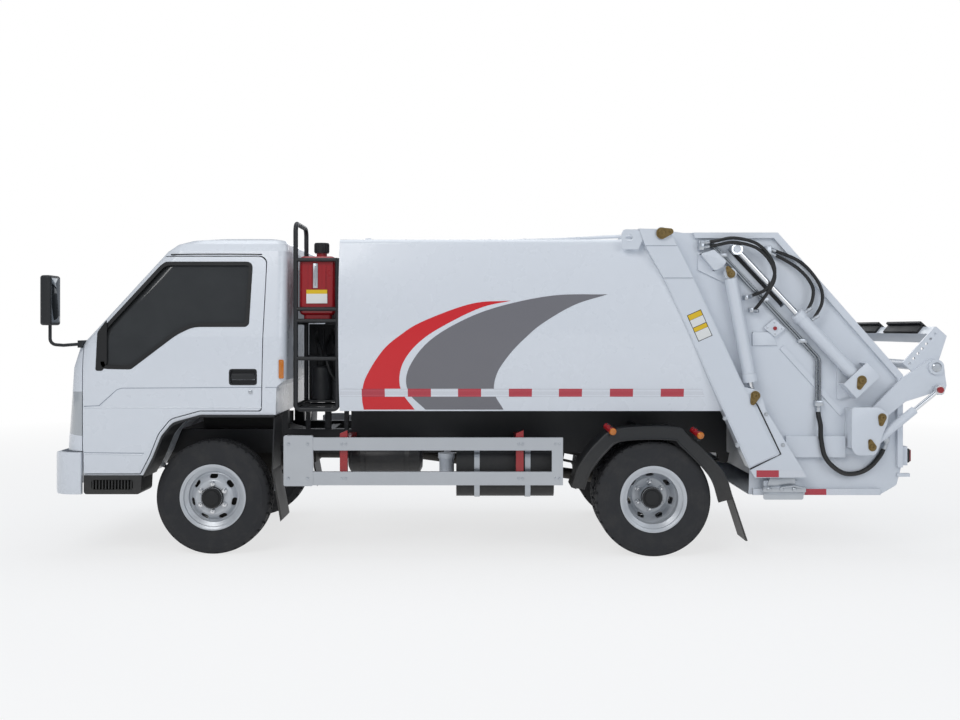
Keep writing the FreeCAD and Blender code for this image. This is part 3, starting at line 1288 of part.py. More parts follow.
def slide_plate():
    """Packer slide: hollow-looking plate, guide shoes, side pins and blade ears."""
    lean = math.radians(BLADE_LEAN)
    run = Vector(math.sin(lean), 0, -math.cos(lean))
    top = 560.0
    half = 30.0
    start = Vector(BLADE_PIN_X, 0, BLADE_PIN_Z) - run * top
    end = Vector(BLADE_PIN_X, 0, BLADE_PIN_Z) - run * 48
    side = Vector(run.z, 0, -run.x) * half
    corners = [start + side, end + side, end - side, start - side]
    plate = side_prism([(corner.x, corner.z) for corner in corners], -PACKER_HALF_WIDTH,
                       PACKER_HALF_WIDTH)
    pieces = [plate]
    for index in range(5):
        y = -600 + 300 * index
        rib = [start - side + run * 30, end - side - run * 20, end - side * 2.2 - run * 60,
               start - side * 2.2 + run * 60]
        pieces.append(side_prism([(corner.x, corner.z) for corner in rib], y - 8, y + 8))
    for side_sign in (-1, 1):
        y0 = side_sign * (PACKER_HALF_WIDTH - 20)
        y1 = side_sign * (GATE_OUTER_Y - GATE_SHEET - 6)
        shoe = slide_bar(-95, 330, -31, 31, min(y0, y1), max(y0, y1))
        pieces.append(shoe)
        y2 = side_sign * (SLIDE_Y + 28)
        pieces.append(across(SLIDE_PIN_X, SLIDE_PIN_Z, 22, min(y0, y2), max(y0, y2)))
    for y0, y1 in ((-725, -695), (-20, 20), (695, 725)):
        ear = side_prism([(corner.x, corner.z) for corner in
                          (end + side, Vector(BLADE_PIN_X, 0, BLADE_PIN_Z) + side,
                           Vector(BLADE_PIN_X, 0, BLADE_PIN_Z) - side, end - side)], y0, y1)
        pieces.append(ear)
        pieces.append(across(BLADE_PIN_X, BLADE_PIN_Z, 34, y0, y1))
    pieces.append(across(BLADE_PIN_X, BLADE_PIN_Z, 18, -725, 725))
    return fuse(pieces)


def blade_plate():
    """Packer blade with hinge tubes, ribs and wear edge."""
    lean = math.radians(BLADE_LEAN)
    run = Vector(math.sin(lean), 0, -math.cos(lean))
    pin = Vector(BLADE_PIN_X, 0, BLADE_PIN_Z)
    side = Vector(-run.z, 0, run.x)
    begin = pin + run * 44
    end = pin + run * BLADE_LENGTH
    outline = [begin - side * 22, end - side * 22, end + side * 4, begin + run * 120 + side * 24,
               begin + side * 24]
    pieces = [side_prism([(corner.x, corner.z) for corner in outline], -PACKER_HALF_WIDTH,
                         PACKER_HALF_WIDTH)]
    for y0, y1 in ((-690, -26), (26, 690)):
        pieces.append(across(pin.x, pin.z, 34, y0, y1))
        web = [pin - side * 22, begin - side * 22 + run, begin + side * 24 + run, pin + side * 22]
        pieces.append(side_prism([(corner.x, corner.z) for corner in web], y0, y1))
    for index in range(6):
        y = -600 + 240 * index
        rib = [begin + side * 20, begin + side * 75 + run * 60, end - run * 90 + side * 12,
               end - run * 60]
        pieces.append(side_prism([(corner.x, corner.z) for corner in rib], y - 8, y + 8))
    blade = fuse(pieces)
    return blade.cut(across(pin.x, pin.z, 18 + PIN_CLEARANCE, -760, 760))


def lift_line(distance):
    """Point on the lift cylinder's axis, measured from its top eye."""
    run = Vector(LIFT_BASE_X - LIFT_EYE_X, 0, LIFT_BASE_Z - LIFT_EYE_Z)
    run.normalize()
    return Vector(LIFT_EYE_X, -LIFT_Y, LIFT_EYE_Z) + run * distance


def lift_barrel():
    ring = across(LIFT_EYE_X, LIFT_EYE_Z, 38, -LIFT_Y - 20, -LIFT_Y + 20)
    tube = rod(lift_line(30), lift_line(690), LIFT_BARREL_RADIUS)
    collar = rod(lift_line(640), lift_line(694), LIFT_BARREL_RADIUS + 5)
    bore = rod(lift_line(50), lift_line(700), LIFT_ROD_RADIUS + PIN_CLEARANCE)
    body = fuse([ring, tube, collar]).cut(bore)
    return body.cut(across(LIFT_EYE_X, LIFT_EYE_Z, 22 + PIN_CLEARANCE, -900, -700))


def lift_rod():
    ring = across(LIFT_BASE_X, LIFT_BASE_Z, 26, -LIFT_Y - 22, -LIFT_Y + 22)
    bar = rod(lift_line(60), lift_line(760), LIFT_ROD_RADIUS)
    return fuse([ring, bar])


def lifter_line(distance):
    """Point on the lifter cylinder's axis, measured from its base pin."""
    run = Vector(LIFTER_EYE_X - LIFTER_BASE_X, 0, LIFTER_EYE_Z - LIFTER_BASE_Z)
    run.normalize()
    return Vector(LIFTER_BASE_X, -LIFTER_CYLINDER_Y, LIFTER_BASE_Z) + run * distance


def lifter_barrel():
    ring = across(LIFTER_BASE_X, LIFTER_BASE_Z, 30, -LIFTER_CYLINDER_Y - 18,
                  -LIFTER_CYLINDER_Y + 20)
    tube = rod(lifter_line(24), lifter_line(362), 26)
    bore = rod(lifter_line(34), lifter_line(370), 14 + PIN_CLEARANCE)
    body = fuse([ring, tube]).cut(bore)
    return body.cut(across(LIFTER_BASE_X, LIFTER_BASE_Z, 18 + PIN_CLEARANCE, -920, -700))


def lifter_rod():
    length = math.hypot(LIFTER_EYE_X - LIFTER_BASE_X, LIFTER_EYE_Z - LIFTER_BASE_Z)
    ring = across(LIFTER_EYE_X, LIFTER_EYE_Z, 28, -LIFTER_CYLINDER_Y - 18,
                  -LIFTER_CYLINDER_Y + 20)
    bar = rod(lifter_line(length - 355), lifter_line(length - 10), 14)
    return fuse([ring, bar])


def lifter_arm():
    """Arm, head and perforated plate, driver's side."""
    y1 = -LIFTER_ARM_Y
    y0 = y1 - LIFTER_ARM_THICKNESS
    arm = side_prism([(4180, 860, 30), (4225, 835, 30), (4400, 980, 40), (4560, 1030, 20),
                      (4640, 1020, 24), (4660, 1080, 24), (4640, 1230, 40), (4560, 1255, 40),
                      (4380, 1130, 40), (4185, 935, 30)], y0, y1)
    arm = arm.cut(across(LIFTER_PIVOT_X, LIFTER_PIVOT_Z, 24 + PIN_CLEARANCE, -900, -700))
    boss = across(LIFTER_BOSS_X, LIFTER_BOSS_Z, 48, y0 - 16, y1)
    boss = boss.cut(across(LIFTER_BOSS_X, LIFTER_BOSS_Z, 20, y0 - 17, y0 - 4))
    plate = side_prism([(4386, 1225, 10), (4470, 1150, 10), (4600, 1190, 30), (LIFTER_REAR_X, 1396, 8),
                        (4596, 1459, 8)], y1 - 8, y1 + 8)
    for index in range(7):
        x = 4430 + 27 * index
        z = 1222 + 31 * index
        plate = plate.cut(across(x, z, 9, -900, -700))
    lug = across(LIFTER_EYE_X, LIFTER_EYE_Z, 34, y0 - 6, y1)
    return [arm, boss, plate, lug]


BEAM_FACE = [(4664, 1394), (4597, 1455)]


def lifter_frame():
    """Both arms with the cross tube and the comb beam."""
    left = lifter_arm()
    right = [mirrored(shape) for shape in left]
    reach = LIFTER_ARM_Y
    tube = across(LIFTER_BOSS_X, LIFTER_BOSS_Z, 32, -reach, reach)
    beam = side_prism([(4560, 1410), (4630, 1350)] + BEAM_FACE, -reach - 1, reach + 1)
    return fuse(left + right + [tube, beam])


def lifter_pads():
    """Two rubber-faced pads on the beam's slanting face."""
    low = Vector(BEAM_FACE[0][0], 0, BEAM_FACE[0][1])
    high = Vector(BEAM_FACE[1][0], 0, BEAM_FACE[1][1])
    run = high - low
    run.normalize()
    lift = Vector(run.z, 0, -run.x)
    if lift.z < 0:
        lift = lift * -1
    corners = [low + run * 14 + lift * SEAT_GAP, low + run * 126 + lift * SEAT_GAP,
               low + run * 126 + lift * 16, low + run * 14 + lift * 16]
    pads = []
    for y0 in (-625.0, 75.0):
        pads.append(side_prism([(corner.x, corner.z) for corner in corners], y0, y0 + 550))
    return pads


def lift_hoses():
    """Pair of hoses from the top corner to ports beside the lift cylinder."""
    wall = -GATE_OUTER_Y
    far = -LIFT_Y - LIFT_BARREL_RADIUS - 2
    hoses = []
    for drop, port_x, port_z in ((0.0, 3400, 1640), (28.0, 3432, 1560)):
        run = [(3112, wall - 42, 1985 - drop), (3200, wall - 50, 1998 - drop),
               (3300, far, 2020 - drop), (3450, far, 1985 - drop), (3535, far, 1885 - drop),
               (3566, far, 1790 - drop), (3520, far, 1690 - drop), (port_x + 12, wall - 30, port_z),
               (port_x, wall - 12, port_z)]
        hoses.append(pipe(run, HOSE_RADIUS, 60))
        hoses.append(box(port_x - 18, port_x + 8, wall - 42, wall - SEAT_GAP, port_z - 16,
                         port_z + 16))
    hoses.append(box(3088, 3124, wall - 56, wall - SEAT_GAP, 1940, 2000))
    return fuse(hoses)


def slide_hoses():
    """Pair of hoses from a block on the wall to the ports of the slide cylinder."""
    wall = -GATE_OUTER_Y
    hoses = []
    for lift, along, reach in ((0.0, 585, 200), (26.0, 650, 215)):
        corner_x, corner_z = along_slide(along, reach)
        port_x, port_z = along_slide(along, SLIDE_BARREL_RADIUS + 5 + SEAT_GAP)
        run = [(3540, wall - 22, 1926 + lift), (3680 + lift, wall - 46, 1850 + 1.3 * lift),
               (3786 + lift, wall - 50, 1756 + lift), (corner_x, -SLIDE_Y, corner_z),
               (port_x, -SLIDE_Y, port_z)]
        hoses.append(pipe(run, HOSE_RADIUS, 60))
    hoses.append(box(3512, 3556, wall - 38, wall - SEAT_GAP, 1910, 1970))
    return fuse(hoses)


def pipe_run():
    """Pair of steel pipes down the wall, with a hose from their end to the lifter."""
    y = -GATE_OUTER_Y - 20.0
    shapes = []
    for index in (0, 1):
        shift = 22.0 * index
        run = [(3151 + shift, y, 2000 - 0.2 * shift), (3845 + shift, y, 1253),
               (3845 + shift, y, 958)]
        line = pipe(run, 7, 50)
        shapes.append(line)
    clips = []
    for share in (0.12, 0.5, 0.85):
        x = 3151 + (3845 - 3151) * share
        z = 2000 + (1253 - 2000) * share
        clips.append(box(x - 14, x + 40, y - 9, -GATE_OUTER_Y - SEAT_GAP, z - 16, z + 16))
    clips.append(box(3832, 3882, y - 16, -GATE_OUTER_Y - SEAT_GAP, 952, 984))
    hose = pipe([(3857, y, 962), (3857, y, 900), (3860, y - 32, 830), (3864, y - 32, 740),
                 (3905, y - 32, 600), (4000, y - 20, 525), (4090, y + 5, 522),
                 (4170, y + 5, 552), (4262, y + 5, 640), (4290, y + 5, 730)], 13, 90)
    port = box(4272, 4308, -802, -GATE_OUTER_Y - SEAT_GAP, 718, 752)
    return fuse(shapes + clips + [hose, port])


def hydraulic_lines():
    """Steel pipes and hoses held on the tailgate's wall, driver's side."""
    return [pipe_run(), lift_hoses(), slide_hoses()]


def build():
    save("chassis_frame", chassis_frame())
    save("front_axle", front_axle())
    save("rear_axle", rear_axle())
    front_spring = leaf_spring(0, 380 + SEAT_GAP, 545, 520, 4)
    rear_spring = leaf_spring(REAR_AXLE_X, TYRE_RADIUS + 62 + SEAT_GAP, 560, 560, 6)
    save("leaf_springs", *both_sides(front_spring, rear_spring))
    save("engine", engine_block())
    save("exhaust", exhaust())
    save("fuel_tank", fuel_tank())
    save("fuel_filter", fuel_filter())
    save("battery_box", battery_box())
    save("bumper", bumper())
    save("side_guards", *both_sides(side_guard()))
    save("guard_stays", *both_sides(*guard_stays()))
    save("mudguards", *both_sides(*rearwards(mudguard()), front_flap()))
    save("marker_lamps", *both_sides(*rearwards(*marker_lamps())))
    save("body_shell", body_shell())
    save("rear_columns", *rearwards(*rear_columns()))
    save("tank_rack", tank_rack())
    save("oil_tank", oil_tank())
    save("tank_cap", tank_cap())
    save("air_intake", air_intake())

    shell, glass, door, door_glass, lamp, grille = cab_parts()
    save("cab_shell", shell)
    save("cab_glass", *glass)
    save("grille", grille)
    save("headlamps", *both_sides(lamp))
    save("mirrors", *both_sides(mirrors()))
    save("dashboard", dashboard())
    save("steering_wheel", steering_wheel())
    save("seats", seat(-400), seat(400))
    save("cab_lower_trim", *both_sides(*cab_lower_trim()))
    save("door_left", door)
    save("door_right", mirrored(door))
    save("door_glass_left", door_glass)
    save("door_glass_right", mirrored(door_glass))

    save("knuckle_left", knuckle())
    save("knuckle_right", mirrored(knuckle()))
    for name, side in (("left", -1), ("right", 1)):
        save("tyre_front_" + name, tyre(0, side * FRONT_WHEEL_Y))
        save("rim_front_" + name, front_rim(side))
        twin = [tyre(REAR_AXLE_X, side * REAR_WHEEL_Y),
                tyre(REAR_AXLE_X, side * (REAR_WHEEL_Y - TWIN_SPACING))]
        save("tyres_rear_" + name, *twin)
        save("rims_rear_" + name, rear_rims(side))

    save("tailgate_walls", *rearwards(tailgate_walls()))
    save("hopper_tub", *rearwards(hopper_tub()))
    save("tailgate_brackets", *rearwards(*(both_sides(*gate_brackets()) + [rear_beam()])))
    save("tail_lamps", *rearwards(*both_sides(tail_lamps())))
    save("slide_barrels", *rearwards(*both_sides(slide_barrel())))
    save("hydraulic_lines", *rearwards(*both_sides(*hydraulic_lines())))
    save("slide_plate", *rearwards(slide_plate()))
    save("slide_rods", *rearwards(*both_sides(slide_rod())))
    save("blade_plate", *rearwards(blade_plate()))
    save("lift_barrels", *rearwards(*both_sides(lift_barrel())))
    save("lift_rods", *rearwards(*both_sides(lift_rod())))
    save("lifter_arms", *rearwards(lifter_frame()))
    save("lifter_pads", *rearwards(*lifter_pads()))
    save("lifter_barrels", *rearwards(*both_sides(lifter_barrel())))
    save("lifter_rods", *rearwards(*both_sides(lifter_rod())))


build()
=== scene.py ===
"""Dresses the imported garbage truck: finishes, tyres, seats, trim, markings and studio."""

import math

import bmesh
import bpy
from bpy.props import FloatProperty, FloatVectorProperty, IntProperty
from mathutils import Matrix, Vector, noise


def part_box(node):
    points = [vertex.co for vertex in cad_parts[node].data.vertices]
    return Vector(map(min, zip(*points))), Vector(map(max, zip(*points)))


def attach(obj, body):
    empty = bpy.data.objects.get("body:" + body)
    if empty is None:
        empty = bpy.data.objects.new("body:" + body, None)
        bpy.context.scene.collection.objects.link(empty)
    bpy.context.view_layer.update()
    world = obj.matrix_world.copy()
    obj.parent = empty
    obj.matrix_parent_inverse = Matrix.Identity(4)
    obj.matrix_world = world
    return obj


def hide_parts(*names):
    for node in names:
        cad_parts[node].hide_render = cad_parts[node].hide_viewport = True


bl_info = {
    "name": "Garbage truck dressing",
    "version": (1, 0, 0),
    "blender": (4, 5, 0),
    "location": "View3D > Sidebar > Truck",
    "description": "Adds finishes, trim and soft parts to the packed garbage truck",
    "category": "Object",
}

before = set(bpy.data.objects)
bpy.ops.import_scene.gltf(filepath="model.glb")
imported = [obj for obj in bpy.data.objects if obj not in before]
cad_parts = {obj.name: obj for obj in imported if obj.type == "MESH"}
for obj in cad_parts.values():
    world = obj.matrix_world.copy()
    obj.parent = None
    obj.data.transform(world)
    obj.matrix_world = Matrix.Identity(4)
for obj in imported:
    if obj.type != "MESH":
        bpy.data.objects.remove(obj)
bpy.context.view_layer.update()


# Places and sizes

def centre(node):
    """Middle of a CAD node's box."""
    low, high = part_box(node)
    return (Vector(low) + Vector(high)) / 2


FRONT_AXLE = centre("tyre_front_left")
REAR_AXLE = centre("tyres_rear_left")
TYRE_RADIUS = FRONT_AXLE.z
SIDES = (("left", -1), ("right", 1))
# Seats' middle, left and right of the truck's, and the bumper's front at its foot
SEAT_SIDE = 400
BUMPER_FACE = -998.6
# Faces on which fittings stand, in millimetres from the truck's middle
GATE_WALL = 772.3
GATE_RIB = 800.2
POST_FACE = 885.2
GUSSET_FACE = 879.2
VALVE_FACE = 794.2
# The packer's guides: their way down, the way square to it, and the upper pin in (x, z)
SLIDE_TILT = math.radians(47)
SLIDE_WAY = Vector((math.cos(SLIDE_TILT), -math.sin(SLIDE_TILT)))
SLIDE_RISE = Vector((math.sin(SLIDE_TILT), math.cos(SLIDE_TILT)))
SLIDE_PIN = Vector((3326, 1944))


def at(x, y, z):
    """Point in metres from millimetres: rearwards of the front axle, across, up from the road."""
    return Vector((FRONT_AXLE.x + x / 1000, y / 1000, z / 1000))


def linear(code):
    """sRGB hex colour as linear RGBA."""
    code = code.lstrip("#")
    parts = [int(code[i:i + 2], 16) / 255 for i in (0, 2, 4)]
    bright = [c / 12.92 if c <= 0.04045 else ((c + 0.055) / 1.055) ** 2.4 for c in parts]
    return (bright[0], bright[1], bright[2], 1.0)


# Finishes

def add(tree, kind, settings=None, **sockets):
    """Adds a node; sockets go by name with underscores or by number, as in0."""
    made = tree.nodes.new(kind)
    for key, value in (settings or {}).items():
        setattr(made, key, value)
    for key, value in sockets.items():
        if key.startswith("in") and key[2:].isdigit():
            socket = made.inputs[int(key[2:])]
        else:
            socket = made.inputs[key.replace("_", " ")]
        if isinstance(value, bpy.types.NodeSocket):
            tree.links.new(value, socket)
        else:
            socket.default_value = value
    return made


def new_material(name):
    """Material with an empty tree: the material, its tree and its output node."""
    material = bpy.data.materials.new(name)
    material.use_nodes = True
    tree = material.node_tree
    tree.nodes.clear()
    out = tree.nodes.new("ShaderNodeOutputMaterial")
    return material, tree, out


def per_metre(size_mm):
    """Texture scale at which one feature is as wide as size_mm."""
    return 1000.0 / size_mm


def object_place(tree):
    """The shaded point in the piece's own axes, in metres."""
    return add(tree, "ShaderNodeTexCoord").outputs["Object"]


def maths(tree, operation, first, second=0.0):
    """Result of a sum on two numbers or links."""
    return add(tree, "ShaderNodeMath", {"operation": operation}, in0=first,
               in1=second).outputs[0]


def grain_of(tree, where, size_mm, **more):
    """Noise whose features are as wide as size_mm."""
    return add(tree, "ShaderNodeTexNoise", Vector=where, Scale=per_metre(size_mm),
               **more).outputs["Fac"]


def ranged(tree, value, low, high, start=0.0, end=1.0):
    """Value between low and high, spread from start to end."""
    return add(tree, "ShaderNodeMapRange", Value=value, From_Min=low, From_Max=high,
               To_Min=start, To_Max=end).outputs[0]


def blended(tree, share, first, second):
    """Colour between two colours."""
    return add(tree, "ShaderNodeMix", {"data_type": "RGBA"}, in0=share, in6=first,
               in7=second).outputs[2]


def wave_of(tree, value, turn):
    """Sine of the value times turn."""
    return maths(tree, "SINE", maths(tree, "MULTIPLY", value, turn))


def bumped(tree, height, strength, depth_mm, **more):
    """Normal of a relief that is depth_mm deep."""
    return add(tree, "ShaderNodeBump", Strength=strength, Distance=depth_mm / 1000,
               Height=height, **more).outputs[0]


def dimmed(base, share):
    """Colour at a share of its brightness."""
    return tuple(part * share for part in base[:3]) + (1.0,)


def shaded(parts, tint, relief, **sockets):
    """Closes a material with its shader; parts are what new_material gave."""
    material, tree, out = parts
    shader = add(tree, "ShaderNodeBsdfPrincipled", Base_Color=tint, Normal=relief, **sockets)
    tree.links.new(shader.outputs[0], out.inputs[0])
    return material


def coat_of(name, colour, roughness, metallic=0.0, grain_mm=2.0, grain_depth_mm=0.02,
            shade=0.06, dust=0.0, dust_colour="#8a8378", edge_mm=2.0, coat=0.0,
            stretch=(1.0, 1.0, 1.0), rough_swing=0.08):
    """A solid finish with fine relief, patchy shade, road dust low down and softened edges."""
    parts = new_material(name)
    tree = parts[1]
    where = object_place(tree)
    grain_place = add(tree, "ShaderNodeMapping", Vector=where, Scale=stretch).outputs[0]
    grain = grain_of(tree, grain_place, grain_mm, Detail=3.0, Roughness=0.55)
    patches = grain_of(tree, where, 260, Detail=4.0, Roughness=0.6)
    base = linear(colour)
    tint = blended(tree, patches, base, dimmed(base, 1 - shade))
    if dust:
        height = add(tree, "ShaderNodeSeparateXYZ", Vector=where).outputs["Z"]
        low = ranged(tree, height, 0.75, 0.15, 0.0, dust)
        speckle = grain_of(tree, where, 45, Detail=6.0, Roughness=0.7)
        tint = blended(tree, maths(tree, "MULTIPLY", low, speckle), tint, linear(dust_colour))
    sheen = ranged(tree, patches, 0.3, 0.7, max(0.02, roughness - rough_swing / 2),
                   roughness + rough_swing / 2)
    edge = add(tree, "ShaderNodeBevel", {"samples": 4}, Radius=edge_mm / 1000).outputs[0]
    relief = bumped(tree, grain, 0.6, grain_depth_mm, Normal=edge)
    return shaded(parts, tint, relief, Roughness=sheen, Metallic=metallic, Coat_Weight=coat,
                  Coat_Roughness=0.08)


def tread_rubber(name):
    """Moulded tyre rubber: ribbed flanks follow the ring attribute, dust lies in patches."""
    parts = new_material(name)
    tree = parts[1]
    where = object_place(tree)
    ring = add(tree, "ShaderNodeAttribute", {"attribute_name": "ring"}).outputs["Fac"]
    speck = grain_of(tree, where, 6, Detail=5.0, Roughness=0.7)
    dirt = grain_of(tree, where, 110, Detail=6.0, Roughness=0.65)
    tint = blended(tree, ranged(tree, dirt, 0.45, 0.8, 0.0, 0.35), linear("#26272a"),
                   linear("#4b4844"))
    height = maths(tree, "ADD", wave_of(tree, ring, 2 * math.pi / 0.0045), speck)
    return shaded(parts, tint, bumped(tree, height, 0.35, 0.6), Roughness=0.72)


def tinted_glass(name, colour, clearness):
    """Float glass with a dark film: almost black from outside, sharp reflections."""
    parts = new_material(name)
    tree = parts[1]
    waves = grain_of(tree, object_place(tree), 180, Detail=2.0)
    tint = blended(tree, waves, linear(colour), linear("#343536"))
    return shaded(parts, tint, bumped(tree, waves, 0.05, 0.4), Roughness=0.04, IOR=1.5,
                  Transmission_Weight=clearness)


def fluted_lens(name, colour, clearness, pitch_mm, axis):
    """Moulded acrylic lens with flutes inside, axis 0 to 2 being the way they repeat."""
    parts = new_material(name)
    tree = parts[1]
    where = object_place(tree)
    part = add(tree, "ShaderNodeSeparateXYZ", Vector=where).outputs[axis]
    flutes = wave_of(tree, part, 2 * math.pi * per_metre(pitch_mm))
    base = linear(colour)
    tint = blended(tree, grain_of(tree, where, 35, Detail=4.0), base, dimmed(base, 0.8))
    return shaded(parts, tint, bumped(tree, flutes, 0.5, 1.2), Roughness=0.12, IOR=1.49,
                  Transmission_Weight=clearness, Coat_Weight=0.5)


def reflector_lens(name, side_m, height_m, radius_m):
    """Fluted lens over bowls painted bright as a painted reflection, one on each side of the truck
    at a height.
    """
    parts = new_material(name)
    tree = parts[1]
    part = add(tree, "ShaderNodeSeparateXYZ", Vector=object_place(tree))
    across = maths(tree, "SUBTRACT", maths(tree, "ABSOLUTE", part.outputs[1]), side_m)
    up = maths(tree, "SUBTRACT", part.outputs[2], height_m)
    spot = add(tree, "ShaderNodeCombineXYZ", in0=across, in1=up).outputs[0]
    far = add(tree, "ShaderNodeVectorMath", {"operation": "LENGTH"}, in0=spot).outputs["Value"]
    tint = linear("#aeb3b7")
    # Dark rim, bowl painted near white as the chrome reflector's painted reflection, and dark bulb,
    # each a disc laid on the one before
    for code, near, end in (("#4c5054", 1.02, 1.12), ("#e9ecee", 0.92, 1.0),
                            ("#54585c", 0.16, 0.22)):
        disc = ranged(tree, far, radius_m * near, radius_m * end, 1.0, 0.0)
        tint = blended(tree, disc, tint, linear(code))
    flutes = wave_of(tree, part.outputs[1], 2 * math.pi * per_metre(14))
    return shaded(parts, tint, bumped(tree, flutes, 0.35, 1.0), Roughness=0.1, IOR=1.58,
                  Coat_Weight=0.8)


def prismatic_tape(name, colour, cell_mm=6.0):
    """Retroreflective tape: small cells with pale borders under a clear film."""
    parts = new_material(name)
    tree = parts[1]
    cells = add(tree, "ShaderNodeTexVoronoi", {"feature": "DISTANCE_TO_EDGE"},
                Vector=object_place(tree), Scale=per_metre(cell_mm),
                Randomness=0.1).outputs["Distance"]
    share = ranged(tree, cells, 0.0, 0.12)
    base = linear(colour)
    pale = tuple(min(1.0, part * 1.25 + 0.04) for part in base[:3]) + (1.0,)
    return shaded(parts, blended(tree, share, pale, base), bumped(tree, share, 0.2, 0.3),
                  Roughness=0.28, Coat_Weight=0.6)


def woven_cloth(name, warp, weft, thread_mm):
    """Plain woven seat cloth: two crossing threads, drawn coarse enough to show."""
    parts = new_material(name)
    tree = parts[1]
    where = object_place(tree)
    split = add(tree, "ShaderNodeSeparateXYZ", Vector=where)
    turns = [wave_of(tree, split.outputs[axis], math.pi * per_metre(thread_mm))
             for axis in range(3)]
    cross = maths(tree, "MULTIPLY", maths(tree, "ADD", turns[0], turns[2]), turns[1])
    tint = blended(tree, ranged(tree, cross, -1.0, 1.0), linear(warp), linear(weft))
    height = maths(tree, "ADD", cross, grain_of(tree, where, 1.5, Detail=3.0))
    return shaded(parts, tint, bumped(tree, height, 0.5, 0.6), Roughness=0.92,
                  Sheen_Weight=0.3)


